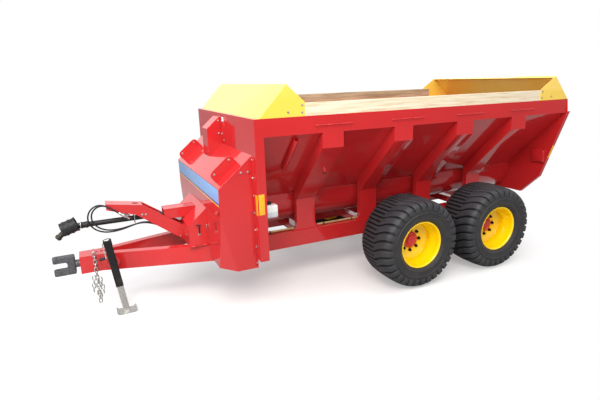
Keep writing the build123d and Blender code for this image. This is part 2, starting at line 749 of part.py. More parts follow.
def cylinder_x():
    return OPENING_X + OPENING_LENGTH / 2


def cylinder_start():
    return door_start + door_length + door_travel + ROD_SPARE


def cylinder_length():
    return barrel_ends + door_travel


def trough():
    """Half round under the auger with upright sides that carry the sloping walls."""
    length = front_inside_x - rear_inside_x
    ring = Cylinder(TROUGH_RADIUS, length) - Cylinder(TROUGH_RADIUS - SHEET, 2 * length)
    ring = Pos((front_inside_x + rear_inside_x) / 2, 0, TROUGH_Z) * Rot(0, 90, 0) * ring
    low = block(rear_inside_x, front_inside_x, -TROUGH_RADIUS, TROUGH_RADIUS, TROUGH_Z - TROUGH_RADIUS, TROUGH_Z)
    side = block(rear_inside_x, front_inside_x, TROUGH_RADIUS - SHEET, TROUGH_RADIUS, TROUGH_Z, wall_foot_z)
    return (ring & low) + side + mirrored(side)


nodes["left_tank_wall"] = left_tank_wall()
nodes["right_tank_wall"] = mirrored(right_tank_wall())
nodes["tank_trough"] = trough()


def bottle_shelf():
    back_x = front_inside_x - BOTTLE_SETBACK - BOTTLE_LENGTH
    near_y = bottle_y + BOTTLE_DEPTH / 2
    return block(back_x, front_inside_x, bottle_y - BOTTLE_DEPTH / 2, near_y, BOTTLE_SHELF_Z - SHEET, BOTTLE_SHELF_Z)


def front_wall():
    """End plate with side lips, a top lip, and holes for the shafts."""
    half = TANK_HALF_WIDTH
    wall = block(front_inside_x, TANK_FRONT_X, -half, half, FRONT_WALL_BOTTOM, RAIL_TOP)
    lip = block(TANK_FRONT_X - FRONT_LIP, front_inside_x, half - SHEET, half, FRONT_WALL_BOTTOM, rail_bottom)
    wall += lip + mirrored(lip) + bottle_shelf()
    wall += block(FRONT_HOOD_FOOT_X - FRONT_LIP, front_inside_x, RAIL_WIDTH - half, half - RAIL_WIDTH,
                  RAIL_TOP - SHEET, RAIL_TOP)
    notch = block(BEAM_REAR_X, BEAM_FRONT_X, beam_inner_y, BEAM_OUTER_Y, BEAM_BOTTOM, beam_top)
    wall -= notch + mirrored(notch)
    for y, z, radius in ((0, TROUGH_Z, AUGER_STUB_RADIUS), (-EXPELLER_Y, EXPELLER_Z, EXPELLER_STUB_RADIUS)):
        wall -= rod_x(front_inside_x - SHEET, TANK_FRONT_X + SHEET, y, z, radius + SHEET)
    return wall


def rear_outline(inset):
    """Half outline of the rear wall, top to bottom, moved in by an inset."""
    return [
        (TANK_HALF_WIDTH - inset, RAIL_TOP), (REAR_SHOULDER_Y - inset, REAR_SHOULDER_Z),
        (REAR_KNEE_Y - inset, REAR_KNEE_Z), (REAR_BOTTOM_Y - inset, REAR_BOTTOM_Z),
    ]


def rear_wall():
    """End plate whose slanted edges are bent rearward into lips."""
    half = rear_outline(0)
    outline = half + [(-y, z) for y, z in reversed(half)]
    wall = prism_x(outline, TANK_REAR_X, rear_inside_x)
    band = half[1:3] + [(y, z) for y, z in reversed(rear_outline(SHEET)[1:3])]
    lip = prism_x(band, TANK_REAR_X - REAR_LIP, TANK_REAR_X)
    lower = half[2:4] + [(y, z) for y, z in reversed(rear_outline(SHEET * 1.4)[2:4])]
    lip += prism_x(lower, TANK_REAR_X - REAR_LIP, TANK_REAR_X)
    wall += lip + mirrored(lip)
    return wall - rod_x(TANK_REAR_X - SHEET, rear_inside_x + SHEET, 0, TROUGH_Z, AUGER_STUB_RADIUS + SHEET)


def top_rail():
    inner = TANK_HALF_WIDTH - RAIL_WIDTH
    tube = block(rear_inside_x, front_inside_x, inner, TANK_HALF_WIDTH, rail_bottom, RAIL_TOP)
    return tube - block(rear_inside_x - SHEET, front_inside_x + SHEET, inner + RAIL_WALL,
                        TANK_HALF_WIDTH - RAIL_WALL, rail_bottom + RAIL_WALL, RAIL_TOP - RAIL_WALL)


def rib(x):
    """Channel rib on the wall that stands on the frame as a leg with a flared foot."""
    leg_y = BEAM_OUTER_Y - LEG_SETBACK
    drop = RIB_DEPTH / slope_cos
    rise = slope_sin / slope_cos

    def wall_z(y):
        return rail_bottom + (y - wall_top_y) * rise

    def face_z(y):
        return wall_z(y) - drop

    start = TANK_HALF_WIDTH
    profile = [
        (wall_top_y, rail_bottom), (start, rail_bottom), (start, face_z(start)), (leg_y, face_z(leg_y)),
        (leg_y, beam_top), (beam_inner_y, beam_top), (beam_inner_y, wall_z(beam_inner_y)),
    ]
    skin = SHEET / slope_sin
    hollow = [
        (start - SHEET, rail_bottom + SHEET), (start - SHEET, face_z(start - SHEET) + skin),
        (leg_y - SHEET, face_z(leg_y - SHEET) + skin), (leg_y - SHEET, beam_top - SHEET),
        (beam_inner_y - SHEET, beam_top - SHEET), (beam_inner_y - SHEET, wall_z(beam_inner_y) + RIB_DEPTH),
    ]
    half = RIB_WIDTH / 2
    body = prism_x(profile, x - half, x + half) - prism_x(hollow, x - half + SHEET, x + half - SHEET)
    for side in (1, -1):
        flare = [
            (x + side * half, beam_top), (x + side * (half + FOOT_FLARE), beam_top),
            (x + side * half, beam_top + FOOT_FLARE_HEIGHT),
        ]
        body += prism_y(flare, leg_y - SHEET, leg_y)
    return body


nodes["front_wall"] = front_wall()
nodes["rear_wall"] = rear_wall()
nodes["top_rails"] = both_sides(top_rail())
left_ribs = [rib(x) for x in rib_positions()]
nodes["side_ribs"] = Compound(left_ribs + [mirrored(piece) for piece in left_ribs])


# Hoods over the tank ends and the boards on the rails

def hood(foot_x, ridge_x, ridge_z, end_x):
    """Sloping panel with two side plates, open below and towards the middle of the tank."""
    inward = 1 if end_x > foot_x else -1
    half = TANK_HALF_WIDTH
    end_z = RAIL_TOP + HOOD_END_HEIGHT
    profile = [(foot_x, RAIL_TOP), (ridge_x, ridge_z), (end_x, end_z), (end_x, RAIL_TOP)]
    lean = atan2(ridge_z - RAIL_TOP, abs(ridge_x - foot_x))
    shift = inward * HOOD_SHEET / sin(lean)
    slope = (ridge_z - RAIL_TOP) / abs(ridge_x - foot_x)
    far_x = end_x + inward * RAIL_HEIGHT
    hollow = [
        (foot_x + shift - inward * RAIL_HEIGHT / slope, RAIL_TOP - RAIL_HEIGHT),
        (ridge_x + shift + inward * RAIL_HEIGHT / slope, ridge_z + RAIL_HEIGHT),
        (far_x, ridge_z + RAIL_HEIGHT), (far_x, RAIL_TOP - RAIL_HEIGHT),
    ]
    shell = prism_y(profile, -half, half) - prism_y(hollow, HOOD_SHEET - half, half - HOOD_SHEET)
    lip_end = ridge_x + inward * HOOD_LIP
    lip_drop = HOOD_LIP * (ridge_z - end_z) / abs(end_x - ridge_x)
    lip = [
        (ridge_x, ridge_z), (lip_end, ridge_z - lip_drop), (lip_end, ridge_z - lip_drop - HOOD_SHEET),
        (ridge_x, ridge_z - HOOD_SHEET),
    ]
    return shell + prism_y(lip, HOOD_SHEET - half, half - HOOD_SHEET)


nodes["front_hood"] = hood(FRONT_HOOD_FOOT_X, FRONT_HOOD_RIDGE_X, FRONT_HOOD_RIDGE_Z, FRONT_HOOD_END_X)
nodes["rear_hood"] = hood(rear_inside_x, REAR_HOOD_RIDGE_X, REAR_HOOD_RIDGE_Z, REAR_HOOD_END_X)

board_outer = TANK_HALF_WIDTH - HOOD_SHEET
nodes["side_boards"] = both_sides(block(
    REAR_HOOD_END_X - BOARD_OVERLAP, FRONT_HOOD_END_X + BOARD_OVERLAP, board_outer - BOARD_THICKNESS,
    board_outer, RAIL_TOP, RAIL_TOP + BOARD_HEIGHT))


# Drive casing on the front wall

def casing_solid(inset):
    """Outer form of the casing, or with an inset the space inside its sheet."""
    half = casing_half_width - inset
    lean = atan2(CASING_TOP_REAR_Z - CASING_TOP_FRONT_Z, CASING_FRONT_X - TANK_FRONT_X)
    drop = inset / cos(lean)
    front_x = CASING_FRONT_X - inset
    rear_x = TANK_FRONT_X if inset == 0 else TANK_FRONT_X - SHEET
    rear_z = CASING_TOP_REAR_Z + (TANK_FRONT_X - rear_x) * casing_slope - drop
    front_z = CASING_TOP_FRONT_Z + inset * casing_slope - drop
    low = CASING_BOTTOM_Z + inset
    body = prism_y([(rear_x, low), (front_x, low), (front_x, front_z), (rear_x, rear_z)], -half, half)
    corner = Vector(CASING_FRONT_X, casing_half_width, CASING_CHAMFER_TOP_Z)
    side = Vector(CASING_FRONT_X - CASING_CHAMFER_X, casing_half_width, CASING_BOTTOM_Z)
    front = Vector(CASING_FRONT_X, casing_half_width - CASING_CHAMFER_Y, CASING_BOTTOM_Z)
    normal = (front - corner).cross(side - corner).normalized()
    if normal.X < 0:
        normal = -normal
    cut_size = 2 * CASING_TOP_REAR_Z
    cutter = Plane(corner - normal * inset, z_dir=normal) * Pos(0, 0, cut_size / 2) * Box(
        cut_size, cut_size, cut_size)
    return body - cutter - mirrored(cutter)


def drive_casing():
    """Cover with front, slanted top and bottom, and the two flat side panels."""
    shell = casing_solid(0) - casing_solid(SHEET)
    gate = block(BEAM_REAR_X, 2 * BEAM_FRONT_X, -BEAM_OUTER_Y, BEAM_OUTER_Y, 0, beam_top)
    shell -= gate
    shell -= rod_x(CASING_FRONT_X - 2 * SHEET, CASING_FRONT_X + SHEET, 0, PTO_Z, INPUT_RADIUS + SHEET)
    seam = casing_half_width - SHEET
    core = block(0, 2 * CASING_FRONT_X, -seam, seam, 0, 2 * RAIL_TOP)
    return shell & core, shell - core


casing_cover, casing_sides = drive_casing()
nodes["drive_casing_cover"] = casing_cover
nodes["drive_casing_sides"] = casing_sides


def casing_top_plane(y):
    """Plane on the slanted top: local X runs down the slope, local Z stands up from it."""
    lean = atan2(CASING_TOP_REAR_Z - CASING_TOP_FRONT_Z, CASING_FRONT_X - TANK_FRONT_X)
    return Plane((CASING_FRONT_X, y, CASING_TOP_FRONT_Z), x_dir=(cos(lean), 0, -sin(lean)),
                 z_dir=(sin(lean), 0, cos(lean)))


def fin(y):
    """Upright plate with rounded top corners on a foot flange."""
    plate = block(-FIN_INSET - FIN_LENGTH, -FIN_INSET, -SHEET / 2, SHEET / 2, 0, FIN_HEIGHT)
    plate = fillet(plate.edges().filter_by(Axis.Y).group_by(Axis.Z)[-1], FIN_CORNER)
    flange = block(-FIN_INSET - FIN_LENGTH, -FIN_INSET, -FIN_INSET, SHEET / 2, 0, SHEET)
    return casing_top_plane(y) * (plate + flange)


def wall_guard():
    """Raised box with a sloping shoulder on the front wall, above the casing."""
    def form(inset):
        front = GUARD_FRONT_X - inset
        back = TANK_FRONT_X - inset
        foot_front = CASING_TOP_FRONT_Z + (CASING_FRONT_X - front) * casing_slope
        foot_back = CASING_TOP_FRONT_Z + (CASING_FRONT_X - back) * casing_slope
        side = [
            (back, foot_back - 2 * inset), (front, foot_front - 2 * inset), (front, GUARD_SHOULDER_Z - inset / 2),
            (TANK_FRONT_X + GUARD_TOP_DEPTH - inset / 2, GUARD_TOP_Z - inset), (back, GUARD_TOP_Z - inset),
        ]
        return prism_y(side, GUARD_NEAR_Y - GUARD_WIDTH + inset, GUARD_NEAR_Y - inset)
    return form(0) - form(SHEET)


fin_places = (casing_half_width - FIN_NEAR_INSET, FIN_FAR_INSET - casing_half_width)
nodes["casing_guards"] = Compound([fin(y) for y in fin_places] + [wall_guard()])


# Input shield with its service door, tunnel and shaft support arm

def shield_form(inset):
    lean = (SHIELD_ROOF_REAR_Z - SHIELD_ROOF_FRONT_Z) / SHIELD_DEPTH
    drop = inset * (1 + lean ** 2) ** 0.5
    rear = CASING_FRONT_X - inset
    front = shield_front_x - inset
    roof_front = SHIELD_ROOF_FRONT_Z - drop + inset * lean
    roof_rear = SHIELD_ROOF_REAR_Z - drop + inset * lean
    side = [(rear, beam_top - inset), (front, beam_top - inset), (front, roof_front), (rear, roof_rear)]
    return prism_y(side, inset - SHIELD_HALF_WIDTH, SHIELD_HALF_WIDTH - inset)


hinge_y = SHIELD_HALF_WIDTH + HINGE_KNUCKLE_RADIUS + FIT_GAP
hinge_z = beam_top + HINGE_KNUCKLE_RADIUS + SHEET
knuckle_places = (CASING_FRONT_X + SHIELD_DEPTH * 0.2, CASING_FRONT_X + SHIELD_DEPTH * 0.8)


def door_outline(lap):
    """Side view of the service opening, grown by a lap."""
    low = hinge_z + HINGE_KNUCKLE_RADIUS + 2 * SHEET - lap
    rear = CASING_FRONT_X + 2 * SERVICE_DOOR_LAP - lap
    front = shield_front_x - 2 * SERVICE_DOOR_LAP + lap
    return [(rear, low), (front, low), (front, SERVICE_DOOR_FRONT_TOP + lap), (rear, SERVICE_DOOR_REAR_TOP + lap)]


def input_shield():
    shell = shield_form(0) - shield_form(SHEET)
    inside = SHIELD_HALF_WIDTH - 2 * SHEET
    shell -= prism_y(door_outline(0), inside, SHIELD_HALF_WIDTH + SHEET)
    mouth = TUNNEL_HALF_WIDTH - 2 * SHEET
    shell -= block(CASING_FRONT_X, shield_front_x + SHEET, -mouth, mouth, PTO_Z - mouth, PTO_Z + mouth)
    pin_start, pin_end = knuckle_places[0] - HINGE_KNUCKLE_LENGTH, knuckle_places[1] + HINGE_KNUCKLE_LENGTH
    shell += rod_x(pin_start, pin_end, hinge_y, hinge_z, HINGE_PIN_RADIUS)
    for x in (pin_start, pin_end - 2 * SHEET):
        shell += block(x, x + 2 * SHEET, SHIELD_HALF_WIDTH - SHEET, hinge_y + HINGE_PIN_RADIUS,
                       hinge_z - HINGE_PIN_RADIUS, hinge_z + HINGE_PIN_RADIUS)
    return shell


def service_door():
    start = SHIELD_HALF_WIDTH + FIT_GAP
    outline = door_outline(SERVICE_DOOR_LAP)
    panel = prism_y(outline, start, start + DOOR_SHEET)
    for x in knuckle_places:
        half = HINGE_KNUCKLE_LENGTH / 2
        strap = block(x - half, x + half, start, start + DOOR_SHEET, hinge_z, outline[0][1])
        panel += strap + rod_x(x - half, x + half, hinge_y, hinge_z, HINGE_KNUCKLE_RADIUS)
        panel -= rod_x(x - 2 * half, x + 2 * half, hinge_y, hinge_z, HINGE_PIN_RADIUS + RUNNING_FIT)
    return panel


def input_tunnel():
    """Inverted trough fitted to the slope of the shield, with the pin that the drive shaft lifts on."""
    end_x = shield_front_x + TUNNEL_LENGTH
    half = TUNNEL_HALF_WIDTH
    shell = block(CASING_FRONT_X, end_x, -half, half, TUNNEL_BOTTOM_Z, TUNNEL_TOP_Z)
    shell -= block(CASING_FRONT_X - SHEET, end_x + SHEET, DOOR_SHEET - half, half - DOOR_SHEET,
                   TUNNEL_BOTTOM_Z - SHEET, TUNNEL_TOP_Z - DOOR_SHEET)
    pin = rod_y(INPUT_JOINT_X, -half, half, PTO_Z, JOINT_PIN_RADIUS)
    return shell - shield_form(0) + pin


def support_arm():
    """Two cranked side plates, a bridge plate over the front half, and a wire hook for the shaft."""
    half = ARM_HALF_WIDTH
    side = [
        (shield_front_x, ARM_FOOT_BOTTOM_Z), (ARM_ELBOW_X, ARM_ELBOW_BOTTOM_Z),
        (ARM_TIP_X, ARM_TIP_TOP_Z - ARM_TIP_DEPTH), (ARM_TIP_X, ARM_TIP_TOP_Z),
        (ARM_BEND_X, ARM_BEND_TOP_Z), (shield_front_x, ARM_FOOT_TOP_Z),
    ]
    plate = prism_y(side, half - SHEET, half)
    bridge = prism_y([
        (ARM_BEND_X, ARM_BEND_TOP_Z), (ARM_TIP_X, ARM_TIP_TOP_Z), (ARM_TIP_X, ARM_TIP_TOP_Z - SHEET),
        (ARM_BEND_X, ARM_BEND_TOP_Z - SHEET),
    ], -half, half)
    slot = extrude(SlotOverall(ARM_HOLE_LENGTH, ARM_HOLE_WIDTH), ARM_TIP_DEPTH, both=True)
    bridge -= Pos(ARM_BEND_X + ARM_HOLE_LENGTH, 0, ARM_BEND_TOP_Z) * slot
    small = extrude(SlotOverall(HEAD_SLOT_LENGTH / 2, HEAD_SLOT_WIDTH / 2), ARM_TIP_DEPTH, both=True)
    bridge -= Pos(ARM_TIP_X - ARM_TIP_DEPTH, 0, ARM_TIP_TOP_Z) * small
    leg_y = half - SHEET / 2
    bar_z = PTO_Z - PTO_OUTER_RADIUS - HOOK_WIRE - 2 * SLIDING_GAP
    leg_top = ARM_ELBOW_BOTTOM_Z + 4 * SHEET
    leg_low = bar_z - HOOK_WIRE
    leg = Pos(HOOK_X, leg_y, (leg_top + leg_low) / 2) * Cylinder(HOOK_WIRE, leg_top - leg_low)
    bar = rod_y(HOOK_X, -leg_y, leg_y, bar_z, HOOK_WIRE) - leg - mirrored(leg)
    plate += leg
    bridge -= plate + mirrored(plate)
    return Compound([plate, mirrored(plate), bridge, bar])


nodes["input_shield"] = input_shield()
nodes["service_door"] = service_door()
nodes["input_tunnel"] = input_tunnel()
nodes["shaft_support_arm"] = support_arm()


# Input shaft and telescopic drive shaft

def input_shaft():
    start = gearbox_front_x - GEARBOX_WALL - GEARBOX_ENTRY
    end = INPUT_JOINT_X - JOINT_EYE_RADIUS - SHEET
    shaft = rod_x(start, end, 0, PTO_Z, INPUT_RADIUS)
    return shaft + rod_x(EXPELLER_DRIVE_X, EXPELLER_DRIVE_X + SPROCKET_WIDTH, 0, PTO_Z,
                         INPUT_EXPELLER_SPROCKET_RADIUS)


def pto_rear():
    """Inner tube whose fork ears turn on the pin across the tunnel."""
    tube = rod_x(PTO_TUBE_START_X, PTO_INNER_END_X, 0, PTO_Z, PTO_INNER_RADIUS)
    ear_start = JOINT_EYE_HALF_WIDTH + FIT_GAP
    ear_end = ear_start + JOINT_EAR
    ear = rod_y(INPUT_JOINT_X, ear_start, ear_end, PTO_Z, JOINT_EYE_RADIUS)
    ear += block(INPUT_JOINT_X, PTO_TUBE_START_X + JOINT_EAR, ear_start, ear_end, PTO_Z - JOINT_EYE_RADIUS,
                 PTO_Z + JOINT_EYE_RADIUS) & rod_x(INPUT_JOINT_X, PTO_TUBE_START_X + JOINT_EAR, 0, PTO_Z, 2 * ear_end)
    collar = rod_x(PTO_TUBE_START_X, PTO_TUBE_START_X + 2 * JOINT_EAR, 0, PTO_Z, ear_end + SHEET / 2)
    body = tube + collar + ear + mirrored(ear)
    return body - rod_y(INPUT_JOINT_X, -2 * ear_end, 2 * ear_end, PTO_Z, JOINT_PIN_RADIUS + RUNNING_FIT)


def pto_front():
    """Outer tube that slides over the inner one, closed at its front by a fork."""
    bore = PTO_INNER_RADIUS + FIT_GAP
    tube = rod_x(PTO_OUTER_START_X, PTO_OUTER_END_X, 0, PTO_Z, PTO_OUTER_RADIUS)
    tube -= rod_x(PTO_OUTER_START_X - SHEET, PTO_OUTER_END_X - JOINT_EYE_RADIUS, 0, PTO_Z, bore)
    eye_x = bell_joint_x()
    tube += block(PTO_OUTER_END_X - JOINT_EAR, eye_x, -JOINT_EYE_RADIUS / 2, JOINT_EYE_RADIUS / 2,
                  PTO_Z - JOINT_EYE_RADIUS / 2, PTO_Z + JOINT_EYE_RADIUS / 2)
    tube += rod_y(eye_x, -JOINT_EYE_HALF_WIDTH, JOINT_EYE_HALF_WIDTH, PTO_Z, JOINT_EYE_RADIUS)
    pin_half = JOINT_EYE_HALF_WIDTH + JOINT_EAR + SHEET / 2
    return tube + rod_y(eye_x, -pin_half, pin_half, PTO_Z, JOINT_PIN_RADIUS)


def bell_joint_x():
    return PTO_OUTER_END_X + JOINT_EYE_RADIUS + 2 * BELL_GAP


def joint_frame(droop):
    """Joint centre with X along a drooping piece."""
    return Pos(bell_joint_x(), 0, PTO_Z) * Rot(0, droop, 0)


def pto_yoke():
    """Round end that turns in its seat and slides onto the tractor shaft."""
    end = YOKE_REACH + YOKE_LENGTH
    body = rod_x(YOKE_REACH + SLIDING_GAP, end, 0, 0, YOKE_RADIUS)
    groove_x = end - 5 * SHEET
    body += rod_x(groove_x, groove_x + 3 * SHEET, 0, 0, YOKE_RADIUS + SHEET)
    body -= rod_x(groove_x - SHEET, groove_x + 4 * SHEET, 0, 0, YOKE_RADIUS - SHEET)
    bottom = end - YOKE_BORE_LENGTH
    body -= rod_x(bottom, end + SHEET, 0, 0, YOKE_BORE)
    body -= rod_x(bottom - YOKE_RELIEF, bottom, 0, 0, YOKE_BORE + YOKE_RELIEF / 2)
    return joint_frame(YOKE_DROOP) * body


def pto_bell():
    """Ribbed guard; a web inside it holds the seat of the yoke and two ears on the pin of the outer tube."""
    start = -BELL_BACK
    end = start + BELL_LENGTH
    shell = rod_x(start, end, 0, 0, BELL_RADIUS) - rod_x(start - SHEET, end + SHEET, 0, 0, BELL_RADIUS - BELL_WALL)
    for step in (0, 0.36, 0.72):
        band_x = start + step * BELL_LENGTH
        band = rod_x(band_x, band_x + 2 * SHEET, 0, 0, BELL_RADIUS + SHEET)
        shell += band - rod_x(band_x - SHEET, band_x + 3 * SHEET, 0, 0, BELL_RADIUS - BELL_WALL)
    seat_start = YOKE_REACH - 2 * SHEET
    seat_end = YOKE_REACH + 2 * SHEET
    ear_start = JOINT_EYE_HALF_WIDTH + FIT_GAP
    ear_end = ear_start + JOINT_EAR
    ear = rod_y(0, ear_start, ear_end, 0, JOINT_EYE_RADIUS)
    ear += block(0, YOKE_REACH - SHEET, ear_start, ear_end, -JOINT_EYE_RADIUS, JOINT_EYE_RADIUS)
    ear -= rod_y(0, ear_start - SHEET, ear_end + SHEET, 0, JOINT_PIN_RADIUS + RUNNING_FIT)
    seat = rod_x(seat_start, seat_end, 0, 0, YOKE_RADIUS + 2 * SHEET) + ear + mirrored(ear)
    seat -= rod_x(YOKE_REACH, seat_end + SHEET, 0, 0, YOKE_RADIUS + FIT_GAP)
    web = block(seat_start, YOKE_REACH, -SHEET / 2, SHEET / 2, -BELL_RADIUS, BELL_RADIUS)
    inside = rod_x(start, end, 0, 0, BELL_RADIUS - BELL_WALL / 2)
    web = (joint_frame(YOKE_DROOP) * web) & (joint_frame(BELL_DROOP) * inside)
    return joint_frame(BELL_DROOP) * shell + web + joint_frame(YOKE_DROOP) * seat


nodes["input_shaft"] = input_shaft()
nodes["pto_rear_tube"] = pto_rear()
nodes["pto_front_tube"] = pto_front()
nodes["pto_yoke"] = pto_yoke()
nodes["pto_bell_guard"] = pto_bell()


# Auger in the trough

def auger_shaft():
    start = rear_inside_x + FLIGHT_END_GAP
    end = front_inside_x - FLIGHT_END_GAP
    stub_rear = TANK_REAR_X - REAR_LIP + SHEET
    stub_front = TANK_FRONT_X + GEARBOX_WALL + GEARBOX_ENTRY
    shaft = rod_x(start, end, 0, TROUGH_Z, AUGER_SHAFT_RADIUS)
    return shaft + rod_x(stub_rear, stub_front, 0, TROUGH_Z, AUGER_STUB_RADIUS)


def auger_flight():
    """Helical blade, drawn as a ruled loft through radial sections."""
    half_step = pi / FLIGHT_STEPS
    inner = (AUGER_SHAFT_RADIUS + FIT_GAP) / cos(half_step)
    outer = TROUGH_RADIUS - SHEET - AUGER_GAP
    start = rear_inside_x + FLIGHT_END_GAP + FLIGHT_THICKNESS
    end = front_inside_x - FLIGHT_END_GAP - FLIGHT_THICKNESS
    count = int((end - start) / AUGER_PITCH * FLIGHT_STEPS)
    sections = []
    for index in range(count + 1):
        x = start + index * AUGER_PITCH / FLIGHT_STEPS
        turn = 2 * half_step * index
        corners = [
            (x + dx, radius * cos(turn), TROUGH_Z + radius * sin(turn))
            for dx, radius in ((0, inner), (0, outer), (FLIGHT_THICKNESS, outer), (FLIGHT_THICKNESS, inner))
        ]
        sections.append(make_face(Polyline(corners, close=True)))
    return loft(sections, ruled=True)


nodes["auger_shaft"] = auger_shaft()
nodes["auger_flight"] = auger_flight()


# Expeller beside the trough, on the right-hand side

housing_start = OPENING_X - SHEET
housing_end = OPENING_X + OPENING_LENGTH + SHEET
housing_radius = EXPELLER_RADIUS + EXPELLER_GAP


def expeller_rotor():
    drum = rod_x(OPENING_X + EXPELLER_GAP / 2, OPENING_X + OPENING_LENGTH - EXPELLER_GAP / 2, -EXPELLER_Y,
                 EXPELLER_Z, EXPELLER_DRUM_RADIUS)
    shaft_start = housing_start - BEARING_PLATE_THICKNESS - BEARING_BOSS - SHEET
    shaft_end = EXPELLER_DRIVE_X + SPROCKET_WIDTH + SHEET
    drum += rod_x(shaft_start, shaft_end, -EXPELLER_Y, EXPELLER_Z, EXPELLER_STUB_RADIUS)
    return drum + rod_x(EXPELLER_DRIVE_X, EXPELLER_DRIVE_X + SPROCKET_WIDTH, -EXPELLER_Y, EXPELLER_Z,
                        EXPELLER_SPROCKET_RADIUS)


def expeller_paddles():
    pitch = (OPENING_LENGTH - EXPELLER_GAP) / PADDLE_ROWS
    turn = 360 / PADDLES_PER_ROW
    foot = (EXPELLER_DRUM_RADIUS ** 2 - (PADDLE_THICKNESS / 2) ** 2) ** 0.5
    paddles = []
    for row in range(PADDLE_ROWS):
        x = OPENING_X + EXPELLER_GAP / 2 + (row + 0.5) * pitch
        for index in range(PADDLES_PER_ROW):
            angle = turn * (index + row / PADDLE_ROWS)
            plate = block(-PADDLE_WIDTH / 2, PADDLE_WIDTH / 2, -PADDLE_THICKNESS / 2, PADDLE_THICKNESS / 2,
                          foot, EXPELLER_RADIUS) - rod_x(-pitch, pitch, 0, 0, EXPELLER_DRUM_RADIUS)
            paddles.append(Pos(x, -EXPELLER_Y, EXPELLER_Z) * Rot(angle, 0, 0) * plate)
    return Compound(paddles)


def expeller_housing():
    """Scroll under the rotor with end plates, a chute floor to the wall and a hood, as on the left."""
    outer = housing_radius + SHEET
    lift = DOOR_THICKNESS + 2 * SLIDING_GAP + GUIDE_CAP + SHEET

    def slope_point(t, n):
        return (wall_foot_y + t * slope_cos + n * slope_sin, wall_foot_z + t * slope_sin - n * slope_cos)

    top = slope_point(OPENING_START + opening_height, lift)
    floor_z = slope_point(door_start, lift)[1]
    lip = (EXPELLER_Y + outer, EXPELLER_Z + outer * 0.7)
    ends = [
        slope_point(OPENING_START, lift), top, (EXPELLER_Y + outer / 2, EXPELLER_Z + outer * 1.2), lip,
        (EXPELLER_Y + outer * 0.9, EXPELLER_Z), (EXPELLER_Y - outer * 0.9, EXPELLER_Z),
    ]
    def end_plate(x0, x1):
        return prism_x(ends, x0, x1) + rod_x(x0, x1, EXPELLER_Y, EXPELLER_Z, outer)

    shell = end_plate(housing_start, OPENING_X) + end_plate(OPENING_X + OPENING_LENGTH, housing_end)
    scroll = rod_x(housing_start, housing_end, EXPELLER_Y, EXPELLER_Z, outer)
    scroll -= rod_x(housing_start - SHEET, housing_end + SHEET, EXPELLER_Y, EXPELLER_Z, housing_radius)
    low = [
        (EXPELLER_Y - 2 * outer, floor_z), (EXPELLER_Y - outer / 2, floor_z), (EXPELLER_Y, EXPELLER_Z),
        (EXPELLER_Y + 2 * outer, EXPELLER_Z - outer / 2), (EXPELLER_Y, EXPELLER_Z - 2 * outer),
    ]
    shell += scroll & prism_x(low, housing_start, housing_end)
    shell += block(housing_start, housing_end, wall_foot_y, EXPELLER_Y - outer * 0.94, floor_z - SHEET, floor_z)
    roof = [ends[1], ends[2], ends[3]]
    inner_roof = [(y, z - SHEET * 1.2) for y, z in reversed(roof)]
    shell += prism_x(roof + inner_roof, housing_start, housing_end)
    shell -= slope_box(housing_start - SHEET, housing_end + SHEET, -TROUGH_RADIUS, 2 * RAIL_TOP, -RAIL_TOP, 0)
    rod_gap = ROD_RADIUS + 2 * SHEET
    shell -= slope_box(cylinder_x() - rod_gap, cylinder_x() + rod_gap, OPENING_START + opening_height / 2,
                       2 * RAIL_TOP, 0, CYLINDER_STANDOFF + rod_gap)
    for x in (housing_start, OPENING_X + OPENING_LENGTH):
        shell -= rod_x(x - SHEET, x + 2 * SHEET, EXPELLER_Y, EXPELLER_Z, EXPELLER_STUB_RADIUS + SHEET)
    return mirrored(shell)


nodes["expeller_rotor"] = expeller_rotor()
nodes["expeller_paddles"] = expeller_paddles()
nodes["expeller_housing"] = expeller_housing()


# Gearbox, bearings and the chain to the expeller

def bearing(x, direction, y, z, radius):
    """Square flange bearing that stands out from a wall at x."""
    plate_end = x + direction * BEARING_PLATE_THICKNESS
    boss_end = plate_end + direction * BEARING_BOSS
    half = BEARING_PLATE / 2
    plate = block(min(x, plate_end), max(x, plate_end), y - half, y + half, z - half, z + half)
    plate = chamfer(plate.edges().filter_by(Axis.X), half / 2)
    unit = plate + rod_x(min(x, boss_end), max(x, boss_end), y, z, radius + BEARING_WALL)
    return unit - rod_x(min(x, boss_end) - SHEET, max(x, boss_end) + SHEET, y, z, radius + RUNNING_FIT)


def gearbox():
    """Reduction gearbox on the front wall; the input shaft enters in front and the auger shaft behind."""
    half = GEARBOX_HALF_WIDTH
    low = PTO_Z - GEARBOX_MARGIN
    high = TROUGH_Z + GEARBOX_MARGIN
    box = block(TANK_FRONT_X, gearbox_front_x, -half, half, low, high)
    box = fillet(box.edges().filter_by(Axis.X), GEARBOX_CORNER)
    wall = GEARBOX_WALL
    box -= block(TANK_FRONT_X + wall, gearbox_front_x - wall, wall - half, half - wall, low + wall, high - wall)
    box -= rod_x(TANK_FRONT_X - wall, TANK_FRONT_X + 2 * wall, 0, TROUGH_Z, AUGER_STUB_RADIUS + RUNNING_FIT)
    return box - rod_x(gearbox_front_x - 2 * wall, gearbox_front_x + wall, 0, PTO_Z, INPUT_RADIUS + RUNNING_FIT)


nodes["shaft_bearings"] = Compound([
    gearbox(), bearing(TANK_REAR_X, -1, 0, TROUGH_Z, AUGER_STUB_RADIUS),
    bearing(CASING_FRONT_X, 1, 0, PTO_Z, INPUT_RADIUS),
    bearing(housing_start, -1, -EXPELLER_Y, EXPELLER_Z, EXPELLER_STUB_RADIUS),
    bearing(TANK_FRONT_X, 1, -EXPELLER_Y, EXPELLER_Z, EXPELLER_STUB_RADIUS),
])


